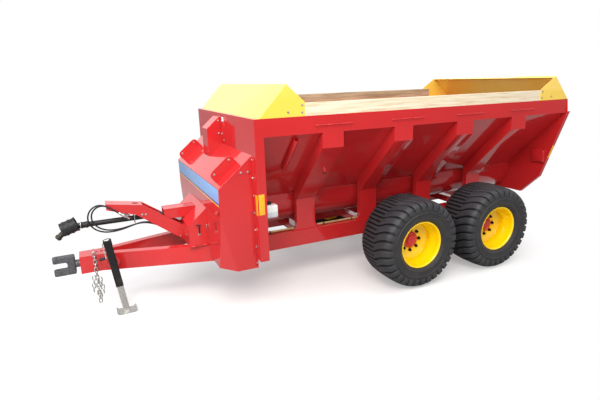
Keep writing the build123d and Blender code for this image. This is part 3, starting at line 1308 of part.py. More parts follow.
def drive_chain(x, first, second):
    """Closed loop round two sprockets, each given as (y, z, radius)."""
    def outline(grow):
        circles = [Pos(y, z) * Circle(radius + grow) for y, z, radius in (first, second)]
        return make_hull([edge for circle in circles for edge in circle.edges()])
    loop = outline(SLIDING_GAP + CHAIN_THICKNESS) - outline(SLIDING_GAP)
    return Plane((x, 0, 0), x_dir=(0, 1, 0), z_dir=(1, 0, 0)) * extrude(loop, SPROCKET_WIDTH)


nodes["expeller_chain"] = drive_chain(
    EXPELLER_DRIVE_X, (0, PTO_Z, INPUT_EXPELLER_SPROCKET_RADIUS),
    (-EXPELLER_Y, EXPELLER_Z, EXPELLER_SPROCKET_RADIUS))


# Discharge door and its cylinder

def discharge_door():
    end_x = OPENING_X + OPENING_LENGTH
    top_n = SLIDING_GAP + DOOR_THICKNESS
    plate = slope_box(OPENING_X - DOOR_LAP, end_x + DOOR_LAP, door_start, door_start + door_length, SLIDING_GAP, top_n)
    lug_end = door_start + door_length
    plate += slope_box(cylinder_x() - ROD_RADIUS, cylinder_x() + ROD_RADIUS, lug_end - LUG_LENGTH, lug_end,
                       SLIDING_GAP, CYLINDER_STANDOFF + ROD_RADIUS)
    return mirrored(plate)


def cylinder_barrel():
    start = cylinder_start()
    end = start + cylinder_length()
    tube = slope_rod(cylinder_x(), start, end, CYLINDER_STANDOFF, CYLINDER_RADIUS)
    tube -= slope_rod(cylinder_x(), start + GLAND_LENGTH, end - GLAND_LENGTH, CYLINDER_STANDOFF, CYLINDER_BORE)
    tube -= slope_rod(cylinder_x(), start - SHEET, start + 2 * GLAND_LENGTH, CYLINDER_STANDOFF,
                      ROD_RADIUS + RUNNING_FIT)
    return mirrored(tube)


def cylinder_rod():
    start = door_start + door_length
    piston = cylinder_start() + GLAND_LENGTH + SHEET
    rod = slope_rod(cylinder_x(), start, piston + PISTON_LENGTH, CYLINDER_STANDOFF, ROD_RADIUS)
    rod += slope_rod(cylinder_x(), piston, piston + PISTON_LENGTH, CYLINDER_STANDOFF, CYLINDER_BORE - RUNNING_FIT)
    return mirrored(rod)


nodes["discharge_door"] = discharge_door()
nodes["door_cylinder_barrel"] = cylinder_barrel()
nodes["door_cylinder_rod"] = cylinder_rod()


# Parking jack on the near side of the tongue

jack_frame = Pos(JACK_X, JACK_Y, 0) * Rot(0, JACK_TILT, 0)
crank_height = JACK_TUBE_TOP + JACK_HEAD_HEIGHT / 2 - SHEET


def square_bar(width, low, high):
    bar = block(-width / 2, width / 2, -width / 2, width / 2, low, high)
    return fillet(bar.edges().filter_by(Axis.Z), width / 8)


def jack_tube():
    tube = square_bar(JACK_TUBE, JACK_TUBE_BOTTOM, JACK_TUBE_TOP)
    tube -= square_bar(JACK_TUBE - 2 * JACK_WALL, JACK_TUBE_BOTTOM - SHEET, JACK_TUBE_TOP - SHEET)
    head = square_bar(JACK_HEAD, JACK_TUBE_TOP - SHEET, JACK_TUBE_TOP + JACK_HEAD_HEIGHT - SHEET)
    tube += chamfer(head.faces().sort_by(Axis.Z)[-1].edges(), JACK_HEAD / 12)
    tube -= rod_x(0, JACK_HEAD, 0, crank_height, CRANK_SHAFT_RADIUS + RUNNING_FIT)
    spigot_x = JACK_X + JACK_SPIGOT_HEIGHT * tan(radians(JACK_TILT))
    side_y = JACK_Y - JACK_TUBE / 2
    spigot = rod_y(spigot_x, 0, side_y, JACK_SPIGOT_HEIGHT, JACK_SPIGOT_RADIUS)
    spigot += rod_y(spigot_x, side_y - JACK_FLANGE_THICKNESS, side_y, JACK_SPIGOT_HEIGHT, JACK_FLANGE_RADIUS)
    beam = prism_z([(BEAM_FRONT_X, -BEAM_OUTER_Y)] + tongue_outline(0)[1:3] + [(HEAD_REAR_X, -BEAM_OUTER_Y)],
                   BEAM_BOTTOM - SHEET, beam_top + SHEET)
    return jack_frame * tube + (spigot - beam)


def jack_leg():
    """Square leg on a pressed foot that lies flat on the ground."""
    width = JACK_TUBE - 2 * JACK_WALL - 2 * SLIDING_GAP
    leg = jack_frame * square_bar(width, -width, JACK_LEG_TOP)
    leg -= block(JACK_X - 4 * width, JACK_X + 4 * width, JACK_Y - 4 * width, JACK_Y + 4 * width, -4 * width,
                 JACK_FOOT_THICKNESS / 2)
    half = JACK_FOOT_LENGTH / 2
    flat = half - JACK_FOOT_RISE
    rise = JACK_FOOT_RISE
    thick = JACK_FOOT_THICKNESS
    side = [
        (-flat, 0), (flat, 0), (half, rise), (half, rise + thick), (flat - thick / 3, thick),
        (thick / 3 - flat, thick), (-half, rise + thick), (-half, rise),
    ]
    foot = prism_y(side, -JACK_FOOT_WIDTH / 2, JACK_FOOT_WIDTH / 2)
    return leg + Pos(JACK_X, JACK_Y, 0) * foot


def jack_crank():
    """Crank with its shaft in the jack head, arm hanging, knob pointing forward."""
    face = JACK_HEAD / 2
    arm_x = face + CRANK_STANDOFF
    low = crank_height - CRANK_ARM
    half = CRANK_ARM_WIDTH / 2
    crank = rod_x(SHEET, arm_x + CRANK_ARM_THICKNESS, 0, crank_height, CRANK_SHAFT_RADIUS)
    arm = block(arm_x, arm_x + CRANK_ARM_THICKNESS, -half, half, low - half, crank_height + half)
    crank += fillet(arm.edges().filter_by(Axis.X), half * 0.9)
    end_x = arm_x + CRANK_ARM_THICKNESS + CRANK_HANDLE
    crank += rod_x(arm_x, end_x, 0, low, CRANK_SHAFT_RADIUS * 0.8)
    return jack_frame * (crank + Pos(end_x, 0, low) * Sphere(CRANK_KNOB_RADIUS))


nodes["jack_tube"] = jack_tube()
nodes["jack_leg"] = jack_leg()
nodes["jack_crank"] = jack_crank()


# Oil bottle on its shelf

def oil_bottle():
    back_x = front_inside_x - BOTTLE_SETBACK - BOTTLE_LENGTH
    near = BOTTLE_DEPTH / 2
    body = block(back_x, back_x + BOTTLE_LENGTH, bottle_y - near, bottle_y + near, BOTTLE_SHELF_Z,
                 BOTTLE_SHELF_Z + BOTTLE_HEIGHT)
    body = fillet(body.edges().filter_by(Axis.Z), BOTTLE_CORNER)
    body = fillet(body.faces().sort_by(Axis.Z)[-1].edges(), BOTTLE_CORNER * 0.6)
    neck_x = back_x + BOTTLE_LENGTH * 0.68
    cap_z = BOTTLE_SHELF_Z + BOTTLE_HEIGHT + BOTTLE_CAP_HEIGHT / 3
    body += Pos(neck_x, bottle_y, cap_z) * Cylinder(BOTTLE_NECK_RADIUS, BOTTLE_CAP_HEIGHT)
    return body + Pos(neck_x, bottle_y, cap_z + BOTTLE_CAP_HEIGHT / 2) * Cylinder(BOTTLE_CAP_RADIUS, BOTTLE_CAP_HEIGHT)


nodes["oil_bottle"] = oil_bottle()


# Hydraulic hoses: out of the shield, up inside the arm, a hanging loop and back to a parked coupler

HOSE_NEAR = [
    (shield_front_x + FIT_GAP, 66, 830), (3425, 66, 830), (3535, 66, 878), (3640, 66, 945), (3735, 67, 985),
    (3830, 69, 998), (3930, 74, 984), (4035, 80, 965), (4140, 84, 960), (4235, 86, 978), (4312, 86, 1026),
    (4358, 84, 1100), (4358, 81, 1182), (4312, 77, 1248), (4240, 73, 1272), (4172, 70, 1248), (4120, 68, 1202),
    (4064, 66, 1172),
]
HOSE_FAR = [
    (shield_front_x + FIT_GAP, -66, 830), (3425, -66, 830), (3535, -66, 874), (3640, -65, 930), (3735, -60, 962),
    (3830, -46, 968), (3930, -22, 950), (4035, 4, 930), (4145, 26, 924), (4250, 42, 938), (4340, 56, 990),
    (4394, 78, 1074), (4400, 102, 1170), (4356, 116, 1256), (4276, 122, 1296), (4196, 124, 1276), (4128, 125, 1222),
    (4064, 125, 1172),
]


def route_radii(points):
    """Largest tangent arcs that the runs of a route leave room for."""
    radii = []
    for before, here, after in zip(points, points[1:], points[2:]):
        run_in = Vector(*here) - Vector(*before)
        run_out = Vector(*after) - Vector(*here)
        turn = radians(run_in.get_angle(run_out))
        radii.append(0.45 * min(run_in.length, run_out.length) / tan(turn / 2))
    return radii


def hose(name, points):
    radii = route_radii(points)
    path = FilletPolyline(*points, radius=radii)
    tube = sweep(Plane(path @ 0, z_dir=path % 0) * Circle(HOSE_RADIUS), path=path)
    share = tube.volume / (pi * HOSE_RADIUS ** 2 * path.length)
    print(name, "length", round(path.length), "least radius", round(min(radii)), "volume share", round(share, 4))
    return tube


def coupler(points):
    """Quick coupler in line with the last run of a hose."""
    end = Vector(*points[-1])
    along = (end - Vector(*points[-2])).normalized()
    body = Cylinder(COUPLER_RADIUS, COUPLER_LENGTH, align=(Align.CENTER, Align.CENTER, Align.MIN))
    tip = Cylinder(COUPLER_TIP_RADIUS, COUPLER_TIP_LENGTH, align=(Align.CENTER, Align.CENTER, Align.MIN))
    return Plane(end, z_dir=along) * (body + Pos(0, 0, COUPLER_LENGTH) * tip)


nodes["near_hose"] = hose("near_hose", HOSE_NEAR)
nodes["far_hose"] = hose("far_hose", HOSE_FAR)
nodes["hose_couplers"] = Compound([coupler(HOSE_NEAR), coupler(HOSE_FAR)])


os.makedirs("parts", exist_ok=True)
for name, shape in nodes.items():
    export_step(Pos(-middle_x, 0, 0) * shape, f"parts/{name}.step")
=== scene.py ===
import json
import math
import bpy
from mathutils import Matrix, Vector


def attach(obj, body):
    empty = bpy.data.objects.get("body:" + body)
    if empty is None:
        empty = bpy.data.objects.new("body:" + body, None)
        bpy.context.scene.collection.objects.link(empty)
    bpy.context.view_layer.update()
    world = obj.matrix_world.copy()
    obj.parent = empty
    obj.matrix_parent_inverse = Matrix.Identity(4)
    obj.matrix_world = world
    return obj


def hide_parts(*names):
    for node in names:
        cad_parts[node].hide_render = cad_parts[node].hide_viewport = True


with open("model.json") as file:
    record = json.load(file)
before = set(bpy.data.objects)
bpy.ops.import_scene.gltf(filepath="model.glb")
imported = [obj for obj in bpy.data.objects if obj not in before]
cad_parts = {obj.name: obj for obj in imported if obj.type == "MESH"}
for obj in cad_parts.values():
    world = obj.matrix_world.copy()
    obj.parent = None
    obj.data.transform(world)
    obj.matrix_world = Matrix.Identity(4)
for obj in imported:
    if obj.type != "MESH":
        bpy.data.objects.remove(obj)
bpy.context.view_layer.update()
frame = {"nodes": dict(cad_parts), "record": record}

# Sizes below are in millimetres from the middle of the bogie, as in the part's source.
# The row frame's origin lies this far forward of the bogie, in metres.
ORIGIN_AHEAD = 1.3495


def at(x, y, z):
    """A point of the machine, from millimetres to the row frame in metres."""
    return Vector((x / 1000 - ORIGIN_AHEAD, y / 1000, z / 1000))


# Camera, at the photograph's viewing angle: degrees, millimetres, and the focal length in pixels

CAMERA_TURN, CAMERA_LIFT, CAMERA_ROLL = 155.27, 14.95, -1.63
CAMERA_SPOT = (4278, 5700, 2642)
FOCAL_PIXELS, PHOTO_WIDTH = 455.8, 600
SENSOR_WIDTH = 36
VIEW_DEPTH = 200


def place_camera():
    """Camera where the photograph was taken from, rolled a little as it was held."""
    turn, lift, roll = (math.radians(angle) for angle in (CAMERA_TURN, CAMERA_LIFT, CAMERA_ROLL))
    back = Vector((math.sin(turn) * math.cos(lift), -math.cos(turn) * math.cos(lift), math.sin(lift)))
    right = Vector((math.cos(turn), math.sin(turn), 0))
    up = back.cross(right)
    side = math.cos(roll) * right + math.sin(roll) * up
    head = -math.sin(roll) * right + math.cos(roll) * up
    lens = bpy.data.cameras.new("photo_camera")
    lens.sensor_width = SENSOR_WIDTH
    lens.lens = SENSOR_WIDTH * FOCAL_PIXELS / PHOTO_WIDTH
    lens.clip_end = VIEW_DEPTH
    camera = bpy.data.objects.new("photo_camera", lens)
    bpy.context.collection.objects.link(camera)
    axes = Matrix((side, head, back)).transposed().to_4x4()
    camera.matrix_world = Matrix.Translation(at(*CAMERA_SPOT)) @ axes
    bpy.context.scene.camera = camera


place_camera()


# Modelling by hand: small steps that every piece is made of

# Points closer than this, in metres, are one point
DOUBLE_GAP = 0.00002


def clear():
    """Leaves edit mode and deselects everything."""
    if bpy.context.object and bpy.context.object.mode != "OBJECT":
        bpy.ops.object.mode_set(mode="OBJECT")
    bpy.ops.object.select_all(action="DESELECT")


def pick(piece):
    """Selects one piece alone and makes it the active one."""
    clear()
    piece.select_set(True)
    bpy.context.view_layer.objects.active = piece


def settle(piece, name):
    """Applies the place of a piece to its mesh and names it."""
    piece.name = name
    piece.data.name = name
    pick(piece)
    bpy.ops.object.transform_apply(location=True, rotation=True, scale=True)
    return piece


def moved(x, y, z):
    """Matrix from the origin to a point of the machine."""
    return Matrix.Translation(at(x, y, z))


def rotated(axis, degrees):
    """Matrix of a turn about an axis."""
    return Matrix.Rotation(math.radians(degrees), 4, axis)


def placed(piece, place):
    """Puts a piece at a matrix and applies that to its mesh."""
    piece.matrix_world = place
    return settle(piece, piece.name)


def tidy_normals(piece):
    """Merges doubles and turns all faces outwards."""
    pick(piece)
    bpy.ops.object.mode_set(mode="EDIT")
    bpy.ops.mesh.select_all(action="SELECT")
    bpy.ops.mesh.remove_doubles(threshold=DOUBLE_GAP)
    bpy.ops.mesh.normals_make_consistent(inside=False)
    bpy.ops.object.mode_set(mode="OBJECT")
    return piece


def round_edges(piece, width, segments=2, angle=30):
    """Bevels the edges of a piece that are sharper than an angle in degrees, to a width in millimetres."""
    pick(piece)
    bevel = piece.modifiers.new("edge", "BEVEL")
    bevel.width = width / 1000
    bevel.segments = segments
    bevel.limit_method = "ANGLE"
    bevel.angle_limit = math.radians(angle)
    bpy.ops.object.modifier_apply(modifier=bevel.name)
    return piece


def slab(name, x, y, z, edge, segments=2):
    """A block between the limits given as pairs, its edges rounded."""
    clear()
    bpy.ops.mesh.primitive_cube_add(size=1, location=at(sum(x) / 2, sum(y) / 2, sum(z) / 2))
    piece = bpy.context.object
    piece.scale = [abs(p[1] - p[0]) / 1000 for p in (x, y, z)]
    settle(piece, name)
    return round_edges(piece, edge, segments)


def disc(name, radius, depth, sides, edge):
    """A short cylinder or prism on the origin along Z, from z = 0 upwards, its rims rounded."""
    clear()
    bpy.ops.mesh.primitive_cylinder_add(vertices=sides, radius=radius / 1000, depth=depth / 1000,
                                        location=(0, 0, depth / 2000))
    return round_edges(settle(bpy.context.object, name), edge, angle=50)


def turned(name, outline, steps, closed=True):
    """Spins an outline of (along, radius) round the Y axis at the origin."""
    points = [Vector((0, y / 1000, r / 1000)) for y, r in outline]
    if closed:
        points.append(points[0])
    clear()
    bpy.ops.mesh.primitive_plane_add(size=0.001)
    piece = bpy.context.object
    bpy.ops.object.mode_set(mode="EDIT")
    bpy.ops.mesh.select_all(action="SELECT")
    bpy.ops.mesh.merge(type="CENTER")
    bpy.ops.transform.translate(value=points[0])
    for here, there in zip(points, points[1:]):
        bpy.ops.mesh.extrude_vertices_move(TRANSFORM_OT_translate={"value": there - here})
    bpy.ops.mesh.select_all(action="SELECT")
    bpy.ops.mesh.spin(steps=steps, angle=2 * math.pi, center=(0, 0, 0), axis=(0, 1, 0))
    return settle(tidy_normals(piece), name)


def joined(name, *pieces):
    """One piece out of several."""
    clear()
    for piece in pieces:
        piece.select_set(True)
    bpy.context.view_layer.objects.active = pieces[0]
    bpy.ops.object.join()
    return settle(bpy.context.object, name)


def copied(model, name, places):
    """Copies of a model at each matrix, as one piece; the model stays."""
    clear()
    twins = []
    for place in places:
        twin = model.copy()
        twin.data = model.data.copy()
        bpy.context.collection.objects.link(twin)
        twin.matrix_world = place
        twins.append(twin)
    bpy.context.view_layer.update()
    return joined(name, *twins)


def drop(*pieces):
    """Deletes models that have been copied."""
    for piece in pieces:
        bpy.data.objects.remove(piece)


def facing(point, direction, turn):
    """Matrix that puts a model's Z axis along a direction at a point, turned about it."""
    aim = Vector(direction).to_track_quat("Z", "Y").to_matrix().to_4x4()
    return Matrix.Translation(point) @ aim @ Matrix.Rotation(turn, 4, "Z")


def finished(piece, material):
    """Gives a piece its finish."""
    piece.data.materials.clear()
    piece.data.materials.append(material)
    return piece


def mount(piece, body, material, smooth=35):
    """Gives a piece its finish, unless it has one, and the body that it rides on."""
    if material:
        finished(piece, material)
    if piece.type == "MESH":
        pick(piece)
        bpy.ops.object.shade_smooth_by_angle(angle=math.radians(smooth))
    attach(piece, body)
    return piece


# Materials

SHADER = "Principled BSDF"


def linear(code):
    """sRGB hex to linear colour."""
    parts = [int(code[i:i + 2], 16) / 255 for i in (1, 3, 5)]
    return tuple(c / 12.92 if c <= 0.04045 else ((c + 0.055) / 1.055) ** 2.4 for c in parts) + (1.0,)


def add(tree, kind, links=None, stops=(), **settings):
    """Adds a shader node with its settings, its fixed values, its links and its (position, colour) stops."""
    made = tree.nodes.new("ShaderNode" + kind)
    for key, value in settings.items():
        setattr(made, key, value)
    while stops and len(made.color_ramp.elements) < len(stops):
        made.color_ramp.elements.new(0.5)
    for i, (position, colour) in enumerate(stops):
        made.color_ramp.elements[i].position = position
        made.color_ramp.elements[i].color = colour
    for socket, value in (links or {}).items():
        if isinstance(value, bpy.types.NodeSocket):
            tree.links.new(value, made.inputs[socket])
        else:
            made.inputs[socket].default_value = value
    return made


def surface(name, **fixed):
    """A new material with fixed values on its shader, its node tree, and Object coordinates."""
    material = bpy.data.materials.new(name)
    material.use_nodes = True
    tree = material.node_tree
    for socket, value in fixed.items():
        tree.nodes[SHADER].inputs[socket.replace("_", " ")].default_value = value
    return material, tree, add(tree, "TexCoord").outputs["Object"]


def wired(material, **outputs):
    """Links outputs to the sockets of a material's shader and gives the material back."""
    tree = material.node_tree
    for socket, output in outputs.items():
        tree.links.new(output, tree.nodes[SHADER].inputs[socket.replace("_", " ")])
    return material


def per_mm(size):
    """Noise scale whose features are about that many millimetres wide."""
    return 1000 / size


def grey(value):
    """A grey of that linear value."""
    return (value, value, value, 1)


def paint(name, base, deep, pale, dust_top, dust_share, rough=(0.18, 0.25), coat=0.9):
    """Sprayed two-pack enamel on sheet steel: even, glossy, faint orange peel, a breath of dust low down."""
    material, tree, place = surface(name, Coat_Weight=coat, Coat_Roughness=0.04, IOR=1.5,
                                    Specular_IOR_Level=0.08)
    cloud = add(tree, "TexNoise", {"Vector": place, "Scale": per_mm(900), "Detail": 1.0})
    tone = add(tree, "ValToRGB", {"Fac": cloud.outputs["Fac"]},
               [(0.3, linear(deep)), (0.52, linear(base)), (0.75, linear(pale))]).outputs["Color"]
    film = add(tree, "TexNoise", {"Vector": place, "Scale": per_mm(110), "Detail": 4.0, "Roughness": 0.55})
    height = add(tree, "SeparateXYZ", {"Vector": place}).outputs["Z"]
    low = add(tree, "MapRange", {"Value": height, "From Min": dust_top / 1000, "From Max": 0.1,
                                 "To Min": 0.0, "To Max": dust_share})
    patch = add(tree, "MapRange", {"Value": film.outputs["Fac"], "From Min": 0.42, "From Max": 0.68})
    dust = add(tree, "Math", {0: low.outputs["Result"], 1: patch.outputs["Result"]}, operation="MULTIPLY")
    dusty = add(tree, "Mix", {"Factor": dust.outputs["Value"], 6: tone, 7: linear("#b7a48c")},
                data_type="RGBA")
    dull = add(tree, "MapRange", {"Value": film.outputs["Fac"], "From Min": 0.3, "From Max": 0.7,
                                  "To Min": rough[0], "To Max": rough[1]})
    # Orange peel is about 3 mm on the real paint; 14 mm is the finest that shows here
    peel = add(tree, "TexNoise", {"Vector": place, "Scale": per_mm(14), "Detail": 2.0})
    bump = add(tree, "Bump", {"Height": peel.outputs["Fac"], "Strength": 0.02, "Distance": 0.001})
    return wired(material, Base_Color=dusty.outputs[2], Roughness=dull.outputs["Result"],
                 Normal=bump.outputs["Normal"])


def scoured(name, base, deep, pale):
    """Enamel on tank plates: glossy outside, scrubbed to bare and rust-stained steel inside."""
    material = paint(name, base, deep, pale, 900, 0.2)
    tree = material.node_tree
    shader = tree.nodes[SHADER]
    place = add(tree, "TexCoord").outputs["Object"]
    facing_up = add(tree, "SeparateXYZ", {"Vector": add(tree, "NewGeometry").outputs["Normal"]}).outputs["Z"]
    height = add(tree, "SeparateXYZ", {"Vector": place}).outputs["Z"]
    streak = add(tree, "TexNoise", {"Vector": place, "Scale": per_mm(160), "Detail": 7.0, "Roughness": 0.7})
    level = add(tree, "MapRange", {"Value": height, "From Min": 2.05, "From Max": 1.55,
                                   "To Min": -0.1, "To Max": 0.75})
    worn = add(tree, "Math", {0: streak.outputs["Fac"], 1: level.outputs["Result"]}, operation="ADD")
    inside = add(tree, "Math", {0: facing_up, 1: 0.3}, operation="GREATER_THAN")
    edge = add(tree, "MapRange", {"Value": worn.outputs["Value"], "From Min": 0.62, "From Max": 0.78})
    share = add(tree, "Math", {0: edge.outputs["Result"], 1: inside.outputs["Value"]}, operation="MULTIPLY")
    steel = add(tree, "ValToRGB", {"Fac": streak.outputs["Fac"]},
                [(0.35, linear("#6d6560")), (0.5, linear("#8a8580")),
                 (0.62, linear("#7a5238")), (0.75, linear("#968f88"))]).outputs["Color"]
    painted = shader.inputs["Base Color"].links[0].from_socket
    mixed = add(tree, "Mix", {"Factor": share.outputs["Value"], 6: painted, 7: steel}, data_type="RGBA")
    gloss = shader.inputs["Roughness"].links[0].from_socket
    dull = add(tree, "Mix", {"Factor": share.outputs["Value"], 2: gloss, 3: 0.55})
    return wired(material, Base_Color=mixed.outputs[2], Roughness=dull.outputs[0])


def rubber(name, dark, middle, pale):
    """Vulcanised carbon-black tyre rubber: near black, dull sheen, a haze of dust."""
    material, tree, place = surface(name, IOR=1.5, Specular_IOR_Level=0.4)
    grain = add(tree, "TexNoise", {"Vector": place, "Scale": per_mm(9), "Detail": 5.0, "Roughness": 0.7})
    haze = add(tree, "TexNoise", {"Vector": place, "Scale": per_mm(150), "Detail": 5.0, "Roughness": 0.6})
    blend = add(tree, "Math", {0: haze.outputs["Fac"], 1: grain.outputs["Fac"]}, operation="MULTIPLY")
    tone = add(tree, "ValToRGB", {"Fac": blend.outputs["Value"]},
               [(0.12, linear(dark)), (0.3, linear(middle)), (0.46, linear(pale))]).outputs["Color"]
    dull = add(tree, "MapRange", {"Value": haze.outputs["Fac"], "To Min": 0.42, "To Max": 0.66})
    bump = add(tree, "Bump", {"Height": grain.outputs["Fac"], "Strength": 0.25, "Distance": 0.0008})
    return wired(material, Base_Color=tone, Roughness=dull.outputs["Result"], Normal=bump.outputs["Normal"])


def pine():
    """Rough-sawn pine plank: pale straw with brown growth lines along X, a few knots, and the right-hand
    board painted browner as painted shade.
    """
    material, tree, place = surface("sawn_pine_board", IOR=1.45, Specular_IOR_Level=0.25, Roughness=0.62)
    # Growth lines are about 6 mm apart; 16 mm is the finest that shows from the camera
    along = add(tree, "Mapping", {"Vector": place, "Scale": (1.1, 14.0, 14.0)})
    sway = add(tree, "TexNoise", {"Vector": along.outputs["Vector"], "Scale": 2.2, "Detail": 4.0})
    lines = add(tree, "TexNoise", {"Vector": add(tree, "Mapping", {
        "Vector": place, "Scale": (0.9, 60.0, 60.0)}).outputs["Vector"], "Scale": 1.0, "Detail": 5.0,
        "Roughness": 0.6, "Distortion": 0.6})
    both = add(tree, "Math", {0: lines.outputs["Fac"], 1: sway.outputs["Fac"]}, operation="MULTIPLY")
    wood = add(tree, "ValToRGB", {"Fac": both.outputs["Value"]},
               [(0.1, linear("#c2a67e")), (0.2, linear("#e0cfb0")),
                (0.34, linear("#eee3cd")), (0.48, linear("#e8d9bd"))]).outputs["Color"]
    knot = add(tree, "TexVoronoi", {"Vector": add(tree, "Mapping", {
        "Vector": place, "Scale": (1.0, 0.2, 3.4)}).outputs["Vector"], "Scale": 1.1})
    dark = add(tree, "ValToRGB", {"Fac": knot.outputs["Distance"]},
               [(0.015, grey(0.8)), (0.05, grey(0.0))]).outputs["Color"]
    knotted = add(tree, "Mix", {"Factor": dark, 6: wood, 7: linear("#8f6b45")}, data_type="RGBA")
    # The right-hand board is painted darker and browner: painted shade
    aside = add(tree, "SeparateXYZ", {"Vector": place}).outputs["Y"]
    right_board = add(tree, "Math", {0: aside, 1: 0.0}, operation="LESS_THAN")
    shade = add(tree, "Math", {0: right_board.outputs["Value"], 1: 0.85}, operation="MULTIPLY")
    brown = add(tree, "ValToRGB", {"Fac": both.outputs["Value"]},
                [(0.12, linear("#86694a")), (0.34, linear("#bb9e7a"))]).outputs["Color"]
    right_board_painted_shade = add(tree, "Mix", {"Factor": shade.outputs["Value"], 6: knotted.outputs[2], 7: brown},
              data_type="RGBA")
    bump = add(tree, "Bump", {"Height": lines.outputs["Fac"], "Strength": 0.2, "Distance": 0.001})
    return wired(material, Base_Color=right_board_painted_shade.outputs[2], Normal=bump.outputs["Normal"])


def metal(name, pale, dark, size, rough, metallic=1.0):
    """Bare or plated steel: two greys in spangles or scuffs of the given size, uneven polish."""
    material, tree, place = surface(name, Metallic=metallic)
    spangle = add(tree, "TexNoise", {"Vector": place, "Scale": per_mm(size), "Detail": 5.0, "Roughness": 0.6})
    tone = add(tree, "ValToRGB", {"Fac": spangle.outputs["Fac"]},
               [(0.34, linear(dark)), (0.62, linear(pale))]).outputs["Color"]
    dull = add(tree, "MapRange", {"Value": spangle.outputs["Fac"], "From Min": 0.3,
                                  "From Max": 0.7, "To Min": rough[1], "To Max": rough[0]})
    bump = add(tree, "Bump", {"Height": spangle.outputs["Fac"], "Strength": 0.2, "Distance": 0.0004})
    return wired(material, Base_Color=tone, Roughness=dull.outputs["Result"], Normal=bump.outputs["Normal"])


def moulded(name, base, pale, size, rough, level=0.4):
    """Moulded plastic or rubber: even colour with a fine grain and slightly lighter rubbed patches."""
    material, tree, place = surface(name, IOR=1.46, Specular_IOR_Level=level)
    grain = add(tree, "TexNoise", {"Vector": place, "Scale": per_mm(size), "Detail": 4.0})
    rub = add(tree, "TexNoise", {"Vector": place, "Scale": per_mm(70), "Detail": 4.0})
    tone = add(tree, "ValToRGB", {"Fac": rub.outputs["Fac"]},
               [(0.4, linear(base)), (0.72, linear(pale))]).outputs["Color"]
    dull = add(tree, "MapRange", {"Value": rub.outputs["Fac"], "To Min": rough[0], "To Max": rough[1]})
    bump = add(tree, "Bump", {"Height": grain.outputs["Fac"], "Strength": 0.15, "Distance": 0.0004})
    return wired(material, Base_Color=tone, Roughness=dull.outputs["Result"], Normal=bump.outputs["Normal"])


def bottle_skin():
    """Blow-moulded HDPE: milky white that lets light in, the oil inside shows as a greyer lower half."""
    material, tree, place = surface("blow_moulded_hdpe", IOR=1.5, Roughness=0.32,
                                    Subsurface_Weight=0.25, Subsurface_Scale=0.02)
    height = add(tree, "SeparateXYZ", {"Vector": place}).outputs["Z"]
    wave = add(tree, "TexNoise", {"Vector": place, "Scale": per_mm(60), "Detail": 2.0})
    sway = add(tree, "Math", {0: wave.outputs["Fac"], 1: 0.012}, operation="MULTIPLY")
    level = add(tree, "Math", {0: height, 1: sway.outputs["Value"]}, operation="ADD")
    share = add(tree, "MapRange", {"Value": level.outputs["Value"], "From Min": 1.18, "From Max": 1.19})
    tone = add(tree, "ValToRGB", {"Fac": share.outputs["Result"]},
               [(0.0, linear("#cfd6dc")), (1.0, linear("#eef0ef"))]).outputs["Color"]
    return wired(material, Base_Color=tone)


def reflector_face():
    """Prismatic reflective tape: amber yellow with a fine net of brighter cells."""
    material, tree, place = surface("prismatic_reflector_tape", Roughness=0.25, Coat_Weight=0.6)
    cells = add(tree, "TexVoronoi", {"Vector": place, "Scale": per_mm(12)})
    tone = add(tree, "ValToRGB", {"Fac": cells.outputs["Distance"]},
               [(0.1, linear("#ffc31f")), (0.7, linear("#f0a400"))]).outputs["Color"]
    return wired(material, Base_Color=tone)


# Enamels: a hard clear gloss over an even colour, duller and dusty low down
RED_TONES = ("#c5272a", "#bf2528", "#cb2a2d")
RED = paint("sprayed_red_enamel", *RED_TONES, 700, 0.1)
TANK_RED = scoured("sprayed_red_enamel_on_tank_plate", *RED_TONES)
YELLOW = paint("sprayed_yellow_enamel", "#fad258", "#f8ce50", "#fbd662", 700, 0.1)
RIM_YELLOW = paint("sprayed_chrome_yellow_on_wheel_rims", "#ffd306", "#fdce04", "#ffd80c", 420, 0.05)
BLACK_PAINT = paint("satin_black_enamel_on_steel", "#171719", "#131314", "#1d1d20", 700, 0.1,
                    rough=(0.36, 0.48), coat=0.25)
# Tyre rubber: dull near-black, a little paler where it rubs; the groove rubber is painted shade, darker than
# the tyre down between the bars
TYRE = rubber("vulcanised_sidewall_rubber", "#232223", "#2e2d2e", "#403d3b")
TREAD = rubber("vulcanised_tread_rubber", "#27282b", "#333438", "#434243")
GROOVE_SHADE = rubber("groove_rubber_painted_shade", "#0b0a0a", "#131010", "#221b17")
PINE = pine()
# Plated and bare metals: clear reflections on zinc, smeared ones on scoured, blasted or phosphated steel
ZINC = metal("bright_zinc_plate", "#cfcfcb", "#9c9c99", 16, (0.24, 0.42))
STEEL = metal("scoured_mild_steel", "#9a938c", "#6a6058", 60, (0.32, 0.6))
NUT = metal("black_oxide_steel", "#3a3a3c", "#1e1e20", 12, (0.35, 0.55))
CAST = metal("shot_blasted_cast_steel", "#68696d", "#47484c", 20, (0.42, 0.6), metallic=0.7)
FORGED = metal("olive_phosphated_forging", "#3d3b31", "#272620", 14, (0.38, 0.58), metallic=0.4)
